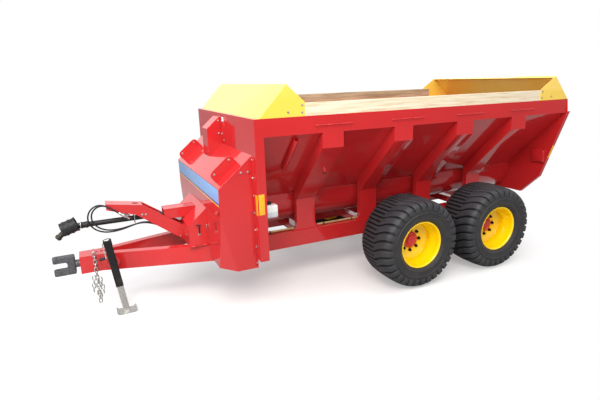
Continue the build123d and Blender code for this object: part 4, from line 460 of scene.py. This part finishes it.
# Plastics, hose rubber and printed vinyl: soft highlights on an even colour
BLACK_PLASTIC = moulded("moulded_black_polyethylene", "#161617", "#26262a", 3, (0.38, 0.55))
HOSE = moulded("extruded_hose_rubber", "#131314", "#222224", 4, (0.4, 0.6), 0.45)
BOTTLE = bottle_skin()
REFLECTOR = reflector_face()
TAN = moulded("tan_polyamide_tube", "#b69a6c", "#c9b184", 6, (0.4, 0.55))
WHITE = moulded("white_nylon_clip", "#e9e9e6", "#f4f4f2", 5, (0.35, 0.5))
BLUE = moulded("printed_blue_vinyl_band", "#7ba3d8", "#86acdc", 30, (0.22, 0.3), 0.5)
NAVY = moulded("printed_dark_blue_vinyl_line", "#2b3f86", "#33488f", 30, (0.22, 0.3), 0.5)
LINE = moulded("printed_yellow_vinyl_line", "#f1d44a", "#f4da5c", 30, (0.22, 0.3), 0.5)

SLOT_FINISH = {
    "red_paint": RED, "yellow_paint": YELLOW, "black_paint": BLACK_PAINT, "tyre_rubber": TYRE,
    "pine_board": PINE, "zinc_plate": ZINC, "worn_steel": STEEL, "black_plastic": BLACK_PLASTIC,
    "bottle_plastic": BOTTLE, "hose_rubber": HOSE,
}

SPECIAL_FINISH = {"jack_crank": ZINC, "hitch_clevis": CAST, "pto_yoke": FORGED}
SPECIAL_FINISH.update({plate: TANK_RED for plate in (
    "left_tank_wall", "right_tank_wall", "tank_trough", "rear_wall", "front_wall")})

# Plates and castings: the width of their softened edges in metres, and from how many degrees an edge is one
SOFT_EDGE, SHARP_ANGLE = 0.0022, 40
# Nodes with these words in their names keep their edges
PLAIN_EDGES = ("tyre", "rim", "hub", "hose", "chain", "flight", "arm")


def dress_cad():
    """The finish of every CAD node, and softened edges on plates, beams and castings."""
    slots = {row["node"]: row["material_slot"] for row in frame["record"]["subparts"]}
    for name, node in frame["nodes"].items():
        finished(node, SPECIAL_FINISH.get(name, SLOT_FINISH[slots[name]]))
        if any(word in name for word in PLAIN_EDGES):
            continue
        weld = node.modifiers.new("weld", "WELD")
        weld.merge_threshold = DOUBLE_GAP
        bevel = node.modifiers.new("edge", "BEVEL")
        bevel.width = SOFT_EDGE
        bevel.segments = 2
        bevel.limit_method = "ANGLE"
        bevel.angle_limit = math.radians(SHARP_ANGLE)


dress_cad()


# Hoses: the routes of the part's source, as smooth lines

HOSE_RADIUS = 9
HOSE_NEAR = [
    (3333.3, 66, 830), (3425, 66, 830), (3535, 66, 878), (3640, 66, 945), (3735, 67, 985),
    (3830, 69, 998), (3930, 74, 984), (4035, 80, 965), (4140, 84, 960), (4235, 86, 978), (4312, 86, 1026),
    (4358, 84, 1100), (4358, 81, 1182), (4312, 77, 1248), (4240, 73, 1272), (4172, 70, 1248),
    (4120, 68, 1202), (4064, 66, 1172),
]
HOSE_FAR = [
    (3333.3, -66, 830), (3425, -66, 830), (3535, -66, 874), (3640, -65, 930), (3735, -60, 962),
    (3830, -46, 968), (3930, -22, 950), (4035, 4, 930), (4145, 26, 924), (4250, 42, 938), (4340, 56, 990),
    (4394, 78, 1074), (4400, 102, 1170), (4356, 116, 1256), (4276, 122, 1296), (4196, 124, 1276),
    (4128, 125, 1222), (4064, 125, 1172),
]


def coupler(name, points):
    """Quick coupler: hose collar, knurled sleeve and nipple with a groove, in line with the hose end."""
    outline = [(0, 0), (0, 12), (6, 14), (18, 14), (22, 16), (32, 16), (35, 14.5), (38, 16), (41, 14.5),
               (44, 16), (47, 14.5), (50, 16), (53, 14.5), (56, 16), (95, 16), (100, 13), (100, 11.8),
               (122, 11.8), (126, 9.5), (131, 9.5), (134, 11.8), (142, 11.8), (146, 9), (146, 0)]
    piece = turned(name, outline, 24, closed=False)
    end, last = Vector(points[-1]), Vector(points[-2])
    return placed(piece, moved(*end) @ (end - last).to_track_quat("Y", "Z").to_matrix().to_4x4())


def tube(name, points, radius, fineness=5):
    """Round line through a route's points, its bends rounded."""
    clear()
    line = bpy.data.curves.new(name, "CURVE")
    line.dimensions = "3D"
    spline = line.splines.new("NURBS")
    spline.points.add(len(points) - 1)
    for knot, point in zip(spline.points, points):
        knot.co = (*at(*point), 1)
    spline.order_u = 3
    spline.use_endpoint_u = True
    spline.resolution_u = 2 * fineness
    line.bevel_depth = radius / 1000
    line.bevel_resolution = fineness
    line.use_fill_caps = True
    piece = bpy.data.objects.new(name, line)
    bpy.context.collection.objects.link(piece)
    return piece


def rod(name, points, radius):
    """Bent round bar as a mesh."""
    piece = tube(name, points, radius, 3)
    pick(piece)
    bpy.ops.object.convert(target="MESH")
    return settle(bpy.context.object, name)


def hose(name, points):
    """Smooth hydraulic hose through the route's points."""
    piece = tube(f"{name}_line", points, HOSE_RADIUS)
    mount(piece, "chassis", HOSE)
    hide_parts(name)


near_coupler = coupler("near_coupler", HOSE_NEAR)
far_coupler = coupler("far_coupler", HOSE_FAR)
for fitting in (near_coupler, far_coupler):
    mount(fitting, "chassis", ZINC)
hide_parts("hose_couplers")
hose("near_hose", HOSE_NEAR)
hose("far_hose", HOSE_FAR)


# Wheels, modelled on the origin with the axle along Y and the outer side towards +Y

AXLES = {"front": 654, "rear": -654}
AXLE_Z = 575
WHEEL_Y = 1190
TYRE_STEPS = 120
RIM_STEPS = 72
# Each group round the tyre has two crown bars and the shoulder bar that they run into
TREAD_GROUPS = 32
# Beyond these distances from the middle, a bar's face overhangs and its foot is sunk into the shoulder
FACE_OVERHANG_FROM, FOOT_SUNK_FROM = 262, 232
FACE_OVERHANG, FOOT_SINK, FOOT_SPREAD = 8.0, 14, 1.14
# Thickness of the skin between the bars that is painted dark as painted shade
GROOVE_SKIN = 3
NUT_COUNT = 8
NUT_CIRCLE = 137.5
NUT_SEAT = 25.6


def tyre_carcass():
    """Wide flotation carcass with a rim guard and raised sidewall rings."""
    half = [(0, 549), (60, 548.4), (120, 546.5), (180, 543), (225, 537.5), (255, 529), (275, 515),
            (287, 495), (293.5, 470), (297, 446), (299, 434), (304.5, 430), (306, 424), (304, 417),
            (298, 411), (296.5, 385), (292.5, 362), (294, 357), (293.5, 346), (287.5, 341), (281, 328),
            (275, 320), (268, 312), (262, 308), (254.6, 306.5), (253.6, 303), (253.6, 287), (226, 287),
            (226, 316), (262, 360), (272, 420), (262, 480), (236, 506), (150, 517), (60, 520)]
    return turned("tyre_carcass", half + [(-y, r) for y, r in reversed(half)][:-1], TYRE_STEPS)


def tread_bar(name, rows):
    """Tread bar through rows of y, foot radius, face radius, and turn and half width in degrees."""
    clear()
    bpy.ops.mesh.primitive_grid_add(x_subdivisions=3, y_subdivisions=len(rows) - 1, size=1)
    bar = bpy.context.object
    bpy.ops.object.mode_set(mode="EDIT")
    bpy.ops.mesh.select_all(action="SELECT")
    bpy.ops.mesh.extrude_region_move(TRANSFORM_OT_translate={"value": (0, 0, 1)})
    bpy.ops.object.mode_set(mode="OBJECT")
    for vertex in bar.data.vertices:
        row = min(len(rows) - 1, round((vertex.co.y + 0.5) * (len(rows) - 1)))
        y, foot, face, turn, half = rows[row]
        across = vertex.co.x * 2
        top = vertex.co.z > 0.5
        outwards = math.copysign(1, y)
        if top and abs(y) > FACE_OVERHANG_FROM:
            y += outwards * min(FACE_OVERHANG, (face - foot) * 0.3)
        if not top and abs(y) > FOOT_SUNK_FROM:
            y -= outwards * FOOT_SINK
        angle = math.radians(turn + across * half * (1.0 if top else FOOT_SPREAD))
        radius = face if top else foot
        vertex.co = Vector((math.sin(angle) * radius, y, math.cos(angle) * radius)) / 1000
    bar.name = name
    tidy_normals(bar)
    return round_edges(bar, width=4.0, angle=42)


def make_tyre():
    """Carcass with straight bars across the crown that run in pairs into swept shoulder bars."""
    straight = [(-297, 452, 462, 0.6, 1.35), (-296.5, 475, 494, 0.5, 1.5), (-284, 500, 526, 0.3, 1.62),
                (-262, 518, 549, 0.1, 1.72), (-225, 533, 562, 0, 1.76), (-150, 541, 570, 0, 1.76),
                (-60, 545, 574.5, 0, 1.76), (12, 545, 574.5, 0, 1.76), (38, 545, 574, -0.5, 1.7),
                (48, 545, 571, -0.9, 1.5)]
    swept = [(30, 545, 572.5, 0.1, 4.2), (36, 545, 574.4, -0.1, 4.35), (80, 544, 574.2, -2.4, 4.35),
             (125, 542, 572.3, -5.0, 4.3), (165, 540, 569.6, -6.8, 4.25), (205, 536, 565.5, -8, 4.2),
             (240, 528, 559, -8.7, 4.15), (262, 518, 549, -9, 4.1), (279, 508, 535, -9.1, 4.0),
             (290, 490, 515, -9.1, 3.85), (297, 470, 490, -9, 3.65), (299.5, 455, 470, -8.9, 3.4),
             (298.5, 440, 452, -8.8, 3.1)]
    carcass = finished(tyre_carcass(), TYRE)
    floor = [(0, 549.5), (60, 548.9), (120, 547), (180, 543.5), (225, 538), (255, 529.5), (275.4, 515.4),
             (287.5, 495.4)]
    outer = [(-y, r) for y, r in reversed(floor)][:-1] + floor
    inner = [(y, r - GROOVE_SKIN) for y, r in reversed(outer)]
    # The groove floor between the bars is painted near-black: painted shade of the grooves
    crown = finished(turned("groove_floor_painted_shade", outer + inner, TYRE_STEPS), GROOVE_SHADE)
    bar = finished(tread_bar("crown_bar", straight), TREAD)
    shoulder = finished(tread_bar("shoulder_bar", swept), TREAD)
    pitch = 2 * math.pi / TREAD_GROUPS
    bars = copied(bar, "crown_bars", [Matrix.Rotation((i + share) * pitch, 4, "Y")
                                      for i in range(TREAD_GROUPS) for share in (-0.25, 0.25)])
    shoulders = copied(shoulder, "shoulder_bars",
                       [Matrix.Rotation(i * pitch, 4, "Y") for i in range(TREAD_GROUPS)])
    drop(bar, shoulder)
    return joined("tyre_model", carcass, crown, bars, shoulders)


def make_rim():
    """Deep-dish rolled rim with rounded lips, drop centre, dished disc, its weld bead and a valve stem."""
    lip = [(253.9, 287), (253.9, 299), (255.5, 303.5), (259.5, 305), (264.5, 304), (267.6, 300),
           (267.6, 294), (264, 288.5), (256, 283), (246, 279), (206, 277), (192, 273.5), (150, 254),
           (132, 244.5), (118, 240.4), (60, 240)]
    seat = [(196, 286.6), (190, 284), (124, 251.5), (118, 250), (-118, 250), (-124, 251.5), (-190, 284),
            (-196, 286.6)]
    barrel = lip + [(-y, r) for y, r in reversed(lip)] + list(reversed(seat))
    rim = turned("rim_barrel", barrel, RIM_STEPS)
    dish = [(10, 108.6), (24, 108.6), (25.5, 112), (25.5, 160), (26.5, 168), (33, 186), (45, 222), (50, 232),
            (52, 241), (36, 241), (34, 232), (18, 186), (12, 170), (10, 160)]
    centre = turned("rim_disc", dish, RIM_STEPS)
    bead = turned("rim_weld", [(51, 241.5), (52, 234), (55.5, 232.5), (60, 235), (62.5, 241.5)], RIM_STEPS)
    between_nuts = rotated("Y", 180 / NUT_COUNT)
    stem = placed(disc("valve_stem", radius=6, depth=46, sides=12, edge=1.2),
                  between_nuts @ Matrix.Translation((0, 0.118, 0.236)) @ rotated("X", -62))
    return joined("rim_model", rim, centre, bead, stem)


def make_hub():
    """Cast hub: barrel, bolt flange, pilot nose with a rolled shoulder, and a domed grease cap."""
    outline = [(-248, 45.2), (-248, 86), (-244, 92), (-30, 92), (-18, 98), (-12, 110), (-8, 120),
               (-8, 160), (-5, 165), (7, 165), (9.7, 162), (9.7, 108), (36, 108), (42, 104), (44, 98),
               (44, 80), (48, 74), (64, 72), (72, 68), (77, 58), (80, 40), (81, 14), (85, 12), (87, 8),
               (87, 0), (43, 0), (43, 45.2)]
    return turned("hub_model", outline, 48)


def make_nuts():
    """Wheel nuts with washers on their studs."""
    washer = disc("washer", radius=23, depth=3, sides=24, edge=0.8)
    nut = disc("nut", radius=18.5, depth=20, sides=6, edge=1.6)
    placed(nut, Matrix.Translation((0, 0, 0.003)))
    stud = disc("stud", radius=10, depth=34, sides=16, edge=2.0)
    model = joined("nut_model", washer, nut, stud)
    seat = Matrix.Translation((0, NUT_SEAT / 1000, NUT_CIRCLE / 1000)) @ rotated("X", -90)
    nuts = copied(model, "nuts_model", [rotated("Y", 360 / NUT_COUNT * i) @ seat for i in range(NUT_COUNT)])
    drop(model)
    return nuts


def make_wheels():
    """The four wheels: each part is modelled once, copied, and mirrored for the right-hand side."""
    models = {"tyre": (make_tyre(), None, "tyre_rubber"), "rim": (make_rim(), RIM_YELLOW, "yellow_paint"),
              "hub": (make_hub(), RED, "red_paint"), "nuts": (make_nuts(), NUT, "worn_steel")}
    for side, sign in (("left", 1), ("right", -1)):
        for end, x in AXLES.items():
            place = moved(x, sign * WHEEL_Y, AXLE_Z) @ Matrix.Scale(sign, 4, (0, 1, 0))
            for part, (model, finish, slot) in models.items():
                piece = copied(model, f"{side}_{end}_{part}_dressed", [place])
                if sign < 0:
                    tidy_normals(piece)
                mount(piece, f"{side}_{end}_wheel", finish, 40)
                if part != "nuts":
                    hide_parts(f"{side}_{end}_{part}")
    drop(*(model for model, _, _ in models.values()))


make_wheels()


# Fasteners

def make_bolt():
    """Flanged hexagon bolt head on a washer, along Z."""
    washer = disc("bolt_washer", radius=13, depth=2, sides=20, edge=0.6)
    head = disc("bolt_head", radius=10.5, depth=8, sides=6, edge=1.2)
    placed(head, Matrix.Translation((0, 0, 0.002)))
    return joined("bolt_model", washer, head)


bolt = make_bolt()


def bolts(name, spots):
    """Bolt heads at (point in mm, direction) spots on the chassis, each turned a little further."""
    places = [facing(at(*point), way, 0.3 * i) for i, (point, way) in enumerate(spots)]
    return mount(copied(bolt, name, places), "chassis", ZINC, 40)


# Sheet flanges on the front wall, from its face forwards, and the outer faces of the casing and the tank
FLANGE_X = (2718, 2724)
CASING_SIDE_Y = 1110
TANK_SIDE_Y = 1237


def casing_fasteners():
    """Flanges that hold the casing's side panels to the front wall, seams on the panels, and their bolts."""
    flange = slab("casing_flange_left", FLANGE_X, (CASING_SIDE_Y, 1152), (584, 1856), 1.2)
    twin = slab("casing_flange_right", FLANGE_X, (-1152, -CASING_SIDE_Y), (584, 1856), 1.2)
    seams = [slab("casing_seam", (2726, 2944), (side * 1109, side * 1112.5), (1662, 1667), 0.8)
             for side in (1, -1)]
    mount(joined("casing_flanges", flange, twin, *seams), "chassis", RED)
    spots = []
    for y in (1131, -1131):
        spots += [((FLANGE_X[1], y, 640 + 196 * i), (1, 0, 0)) for i in range(7)]
    for side in (1, -1):
        spots += [((x, side * CASING_SIDE_Y, 1688), (0, side, 0)) for x in (2770, 2848)]
    bolts("casing_bolts", spots)


def hood_fasteners():
    """Bolts through the ends of both hoods."""
    ends = ((2168, 2290), (2168, 2372), (2330, 2300), (-1534, 2290), (-1534, 2372), (-1720, 2300))
    bolts("hood_bolts", [((x, side * TANK_SIDE_Y, z), (0, side, 0)) for side in (1, -1) for x, z in ends])


casing_fasteners()
hood_fasteners()


# Oil bottle

def oil_bottle():
    """Blow-moulded tank with soft corners and a neck, and its ribbed screw cap."""
    body = slab("oil_bottle_body", (2412, 2556), (948, 1052), (1108, 1258), 20, 5)
    mouth = moved(2510, 1000, 1258) @ rotated("X", 90)
    neck = placed(turned("bottle_neck", [(-2, 0), (-2, 24), (12, 24), (12, 0)], 32, closed=False), mouth)
    bottle = joined("oil_bottle_body", body, neck)
    mount(bottle, "chassis", BOTTLE, 50)
    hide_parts("oil_bottle")
    outline = [(8, 0), (8, 30.5), (10, 31)]
    for i in range(9):
        outline += [(12 + 2 * i, 31), (13 + 2 * i, 30)]
    outline += [(33, 30), (37, 27), (38.5, 22), (38.5, 0)]
    cap = placed(turned("bottle_cap", outline, 36, closed=False), mouth)
    mount(cap, "chassis", BLACK_PLASTIC)


oil_bottle()


# Safety chain: round-wire links, and strands of x, y, top, number of links and sway

LINK_PITCH = 48.6
LINK_STRETCH = 14.5
STRANDS = ((4390, 135, 716, 13, 0.0), (4424, 142, 430, 6, 0.12), (4358, 140, 392, 5, -0.1))


def safety_chain():
    """Galvanised chain: one long strand from the head, and two shorter ones looped back beside it."""
    clear()
    bpy.ops.mesh.primitive_torus_add(major_segments=24, minor_segments=10, major_radius=0.0165,
                                     minor_radius=0.0066)
    link = bpy.context.object
    for vertex in link.data.vertices:
        vertex.co.x += math.copysign(LINK_STRETCH / 1000, vertex.co.x)
    settle(link, "chain_link")
    upright = rotated("Y", 90)
    places = []
    for x, y, top, count, sway in STRANDS:
        for i in range(count):
            aside = sway * 60 * i * (-1 if i > 3 else 1)
            twist = 90 * ((i + 1) % 2) + 14 * math.sin(2.3 * i)
            places.append(moved(x + aside, y, top - i * LINK_PITCH)
                          @ Matrix.Rotation(sway * math.sin(i), 4, "Y") @ rotated("Z", twist) @ upright)
    chain = copied(link, "safety_chain_links", places)
    drop(link)
    mount(chain, "chassis", ZINC, 60)
    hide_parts("safety_chain")


safety_chain()


# Reflectors: tape whose back and face lie this far in front of a plate, and the lean of the rear wall's edge

TAPE = (0.2, 2.2)
EDGE_LEAN = math.atan2(352, 1024)


def reflectors():
    """Amber strips on both front corners and on the outer faces of the rear wall's lip."""
    strips = []
    for side in (1, -1):
        outside = [side * (TANK_SIDE_Y + gap) for gap in TAPE]
        strips.append(slab("reflector", (2642, 2708), outside, (1222, 1451), 0.6))
        ahead = [FLANGE_X[0] + gap for gap in TAPE]
        strips.append(slab("reflector", ahead, (side * 1168, side * 1230), (1214, 1440), 0.6))
        lip = slab("reflector", (-2132, -2090), (-1, 1), (-106, 106), 0.6)
        lean = Matrix.Rotation(-side * EDGE_LEAN, 4, "X")
        strips.append(placed(lip, Matrix.Translation((0, side * 1.0486, 1.45)) @ lean))
    mount(joined("amber_reflectors", *strips), "chassis", REFLECTOR)


reflectors()


# Casing and shield details: x and z of the roof's front and back edge, its lean, and the reach of the lines

ROOF_FRONT, ROOF_BACK = (3103, 1536), (2718, 1862)
ROOF_LEAN = math.atan2(ROOF_BACK[1] - ROOF_FRONT[1], ROOF_FRONT[0] - ROOF_BACK[0])
LINE_Y = (-1078, 1078)


def roof_point(down, y, up):
    """A point of the casing's slanted roof: down the slope from its front edge, across, up from the sheet."""
    along, rise = math.cos(ROOF_LEAN), math.sin(ROOF_LEAN)
    return ROOF_FRONT[0] + down * along + up * rise, y, ROOF_FRONT[1] - down * rise + up * along


def casing_details():
    """Rolled rims and bolts of the fins, wall flange of the guard, and the plain band across the front."""
    rims, spots = [], []
    up = (math.sin(ROOF_LEAN), 0, math.cos(ROOF_LEAN))
    outline = [(-360, 2), (-360, 56), (-360, 90), (-334, 118), (-296, 118), (-112, 118), (-74, 118),
               (-48, 90), (-48, 56), (-48, 2)]
    for y in (915, -812):
        rims.append(rod("fin_rim", [roof_point(down, y, rise) for down, rise in outline], 6))
        spots += [(roof_point(down, y - 26, 6), up) for down in (-330, -204, -78)]
        for side in (1, -1):
            spots += [(roof_point(down, y + 3 * side, 84), (0, side, 0)) for down in (-316, -92)]
    rims.append(slab("guard_flange", FLANGE_X, (-40, 148), (1882, 2188), 1.5))
    mount(joined("fin_rims", *rims), "chassis", RED)
    spots += [((2748, -40, z), (0, 1, 0)) for z in (2149, 1989)]
    spots += [((FLANGE_X[1], y, z), (1, 0, 0)) for y, z in ((6, 1985), (110, 2150), (110, 1920))]
    bolts("guard_bolts", spots)
    clip = slab("cable_clip", (FLANGE_X[1], 2736), (84, 132), (2150, 2206), 4, 3)
    mount(clip, "chassis", WHITE)
    for name, face, height, finish, slot in (
            ("front_band", 3104.2, (1364.5, 1524), BLUE, "bottle_plastic"),
            ("front_band_edge", 3104.4, (1350, 1364), NAVY, "bottle_plastic"),
            ("front_line", 3104.4, (1334, 1342), LINE, "yellow_paint")):
        mount(slab(name, (3103.2, face), LINE_Y, height, 0.4), "chassis", finish)


def shield_details():
    """Pull latch and wire loop of the service door, rolled tunnel edges, bolts of the arm, shaft hook."""
    strap = slab("latch_strap", (3196, 3214), (455.2, 461), (868, 966), 2.4)
    handle = rod("latch_handle", [(3184, 459, 974), (3196, 459, 972), (3205, 459, 972), (3228, 459, 972),
                                  (3242, 459, 974)], 7)
    mount(joined("door_latch", strap, handle), "shield_door", BLACK_PLASTIC)
    plate = slab("latch_plate", (3186, 3224), (454.5, 456.5), (848, 872), 0.7)
    mount(plate, "shield_door", ZINC)
    bend = [(450, 972), (470, 972), (472, 960), (472, 938), (470, 925), (450, 925)]
    loop = rod("wire_loop", [(3116, y, z) for y, z in bend], 4)
    bend = [(97, 1122), (97, 1034), (97, 1015), (78, 1015), (-78, 1015), (-97, 1015), (-97, 1034),
            (-97, 1122)]
    hook = rod("shaft_hook", [(3891, y, z) for y, z in bend], 5.5)
    mount(joined("bent_wires", loop, hook), "chassis", ZINC)
    edges = [rod("tunnel_edge", [(x, side * 84, 1124) for x in (3166, 3300, 3420, 3543)], 7)
             for side in (1, -1)]
    mount(joined("tunnel_edges", *edges), "chassis", RED)
    holes = ((3800, 1105), (3759, 1102), (3372, 760))
    bolts("arm_bolts", [((x, side * 100, z), (0, side, 0)) for side in (1, -1) for x, z in holes])


def tank_details():
    """Tie rods along the rails, drain stub on the first rib, bracket at the rear wall, oil and air lines."""
    wires = []
    steps = [(0, 1236, 2146), (0, 1256, 2146), (0.03, 1259, 2146), (0.28, 1259, 2146), (0.33, 1246, 2138),
             (0.38, 1259, 2146), (0.62, 1259, 2146), (0.67, 1246, 2138), (0.72, 1259, 2146),
             (0.97, 1259, 2146), (1, 1256, 2146), (1, 1236, 2146)]
    for side in (1, -1):
        for start, end in ((2016, 1545), (1005, 537), (1, -433), (-953, -1375)):
            run = end - start
            wires.append(rod("tie_rod", [(start + run * share, side * y, z) for share, y, z in steps], 5))
    mount(joined("tarp_tie_rods", *wires), "chassis", RED)
    bend = [(972, 1631), (992, 1611), (1006, 1594), (1006, 1556)]
    stub = rod("drain_stub", [(1785, y, z) for y, z in bend], 14)
    bracket = slab("rear_bracket", (-2080, -2034), (760, 985), (1285, 1475), 10, 3)
    lid = slab("rear_bracket_lid", (-2034, -2028), (775, 970), (1300, 1460), 2)
    mount(joined("tank_fittings", stub, bracket, lid), "chassis", RED)
    end = slab("stub_end", (1768, 1802), (989, 1023), (1544, 1560), 6, 3)
    clips = [slab("pipe_clip", (x - 9, x + 9), (404, 434), (700.2, 733), 4)
             for x in (1060, 1500, 1940, 2290)]
    mount(joined("pipe_clips", end, *clips), "chassis", BLACK_PLASTIC)
    pipe = rod("air_pipe", [(x, 419, 717) for x in (940, 1300, 1700, 2100, 2350)], 13)
    mount(pipe, "chassis", TAN)
    outlet = rod("bottle_tube", [(2548, 1000, 1128), (2578, 1000, 1127), (2604, 998, 1116), (2612, 992, 1060),
                                 (2640, 980, 1016), (2712, 966, 1000)], 6)
    mount(outlet, "chassis", WHITE)


casing_details()
shield_details()
tank_details()


# Drive shaft guard and jack: height of the shaft, foot and tilt of the jack, and the place of its spigot

SHAFT_Z = 1052
JACK_FOOT, JACK_TILT = (4120, 300, 0), 7
SPIGOT = (4196.74, 0, 625)


def shaft_details():
    """Collar and clip at the end of the shaft's guard tube."""
    collar = [(0, 31.5), (0, 36), (4, 39), (22, 39), (27, 36), (58, 36), (63, 39), (70, 39), (74, 36),
              (74, 31.5)]
    clip = [(0, 31.5), (0, 40), (1.5, 41), (8, 41), (9.5, 40), (9.5, 31.5)]
    for name, x, outline, finish, slot in (("tube_collar", 4404, collar, BLACK_PLASTIC, "black_plastic"),
                                           ("tube_clip", 4480, clip, ZINC, "zinc_plate")):
        piece = placed(turned(name, outline, 40), moved(x, 0, SHAFT_Z) @ rotated("Z", -90))
        mount(piece, "pto_front", finish, 50)


def jack_details():
    """Painted ring round the jack's spigot, grip over the crank's knob, pressed cap on the jack's head."""
    outline = [(244, 46.4), (244, 73.2), (256.8, 73.2), (258.3, 71.7), (258.3, 46.4)]
    ring = placed(turned("spigot_ring", outline, 48), moved(*SPIGOT))
    mount(ring, "chassis", RED)
    lean = moved(*JACK_FOOT) @ rotated("Y", JACK_TILT)
    outline = [(0, 0), (0, 13), (5, 16), (34, 18.6), (50, 19.4), (60, 17.5), (67, 11), (69, 0)]
    grip = placed(turned("crank_grip", outline, 32, closed=False),
                  lean @ Matrix.Translation((0.07, 0, 0.718)) @ rotated("Z", -90))
    mount(grip, "crank", BLACK_PLASTIC, 50)
    outline = [(0, 34), (4, 34), (9, 30), (12, 20), (13, 0), (0, 0)]
    cap = placed(turned("jack_cap", outline, 32),
                 lean @ Matrix.Translation((0, 0, 0.9262)) @ rotated("X", 90))
    mount(cap, "chassis", ZINC, 50)


shaft_details()
jack_details()


# Floor and light, in metres and watts: soft lamps with their place, size, power and tint

LAMPS = (
    ("key_softbox", (3.5, 6.5, 7.5), 5.0, 770, "#fff8f0"),
    ("top_softbox", (-1.0, 0.5, 8.5), 7.0, 460, "#f6f9ff"),
    ("front_softbox", (8.0, 2.0, 4.5), 5.0, 340, "#ffffff"),
    ("rear_softbox", (-6.5, -5.5, 6.0), 5.0, 260, "#f4f7ff"),
)
LAMP_AIM = Vector((0, 0, 1.2))
FLOOR_SIZE, FLOOR_Z = 120, -0.0005


def studio_floor():
    """Pale paper under the machine that keeps its shadow and fades to white away from it."""
    clear()
    bpy.ops.mesh.primitive_plane_add(size=FLOOR_SIZE, location=(0, 0, FLOOR_Z))
    floor = bpy.context.object
    floor.name = "studio_floor"
    material, tree, place = surface("studio_floor_paper", Roughness=0.9)
    grain = add(tree, "TexNoise", {"Vector": place, "Scale": 0.15, "Detail": 2.0})
    tone = add(tree, "ValToRGB", {"Fac": grain.outputs["Fac"]},
               [(0.0, linear("#f4f4f2")), (1.0, linear("#f8f8f7"))]).outputs["Color"]
    # White to the eye, grey to the light that it throws back and to reflections
    eye = add(tree, "LightPath").outputs["Is Camera Ray"]
    paper = add(tree, "Mix", {"Factor": eye, 6: linear("#b0b0ae"), 7: tone}, data_type="RGBA")
    wired(material, Base_Color=paper.outputs[2])
    # The paper glows white away from the machine, for the eye only
    flat = add(tree, "Mapping", {"Vector": place, "Scale": (0.55, 1.0, 1.0)}).outputs["Vector"]
    reach = add(tree, "VectorMath", {0: flat}, operation="LENGTH").outputs["Value"]
    away = add(tree, "MapRange", {"Value": reach, "From Min": 1.2, "From Max": 3.0, "To Min": 0.3,
                                  "To Max": 1.0}, interpolation_type="SMOOTHSTEP")
    share = add(tree, "Math", {0: eye, 1: away.outputs["Result"]}, operation="MULTIPLY")
    glow = add(tree, "Emission", {"Color": linear("#ffffff"), "Strength": 1.0})
    mixed = add(tree, "MixShader", {0: share.outputs["Value"], 1: tree.nodes[SHADER].outputs["BSDF"],
                                    2: glow.outputs["Emission"]})
    tree.links.new(mixed.outputs["Shader"], tree.nodes["Material Output"].inputs["Surface"])
    floor.data.materials.append(material)


def studio_world():
    """Even soft light all round, white to the eye and in reflections."""
    world = bpy.data.worlds.new("studio_world")
    bpy.context.scene.world = world
    world.use_nodes = True
    tree = world.node_tree
    tree.nodes.clear()
    rays = add(tree, "LightPath").outputs
    seen = add(tree, "Math", {0: rays["Is Camera Ray"], 1: rays["Is Glossy Ray"]}, operation="MAXIMUM")
    lit = add(tree, "Background", {"Color": linear("#eef2f7"), "Strength": 0.62})
    pale = add(tree, "Background", {"Color": linear("#ffffff"), "Strength": 1.0})
    mixed = add(tree, "MixShader", {0: seen.outputs["Value"], 1: lit.outputs["Background"],
                                    2: pale.outputs["Background"]})
    add(tree, "OutputWorld", {"Surface": mixed.outputs["Shader"]})


def studio_lamps():
    """Large square softboxes that all look at the middle of the machine."""
    for name, spot, size, power, tint in LAMPS:
        lamp = bpy.data.lights.new(name, "AREA")
        lamp.shape = "SQUARE"
        lamp.size = size
        lamp.energy = power
        lamp.color = linear(tint)[:3]
        holder = bpy.data.objects.new(name, lamp)
        bpy.context.collection.objects.link(holder)
        aim = (LAMP_AIM - Vector(spot)).to_track_quat("-Z", "Y")
        holder.matrix_world = Matrix.Translation(spot) @ aim.to_matrix().to_4x4()


studio_floor()
studio_world()
studio_lamps()
bpy.context.scene.view_settings.view_transform = "Standard"
drop(bolt)

clear()
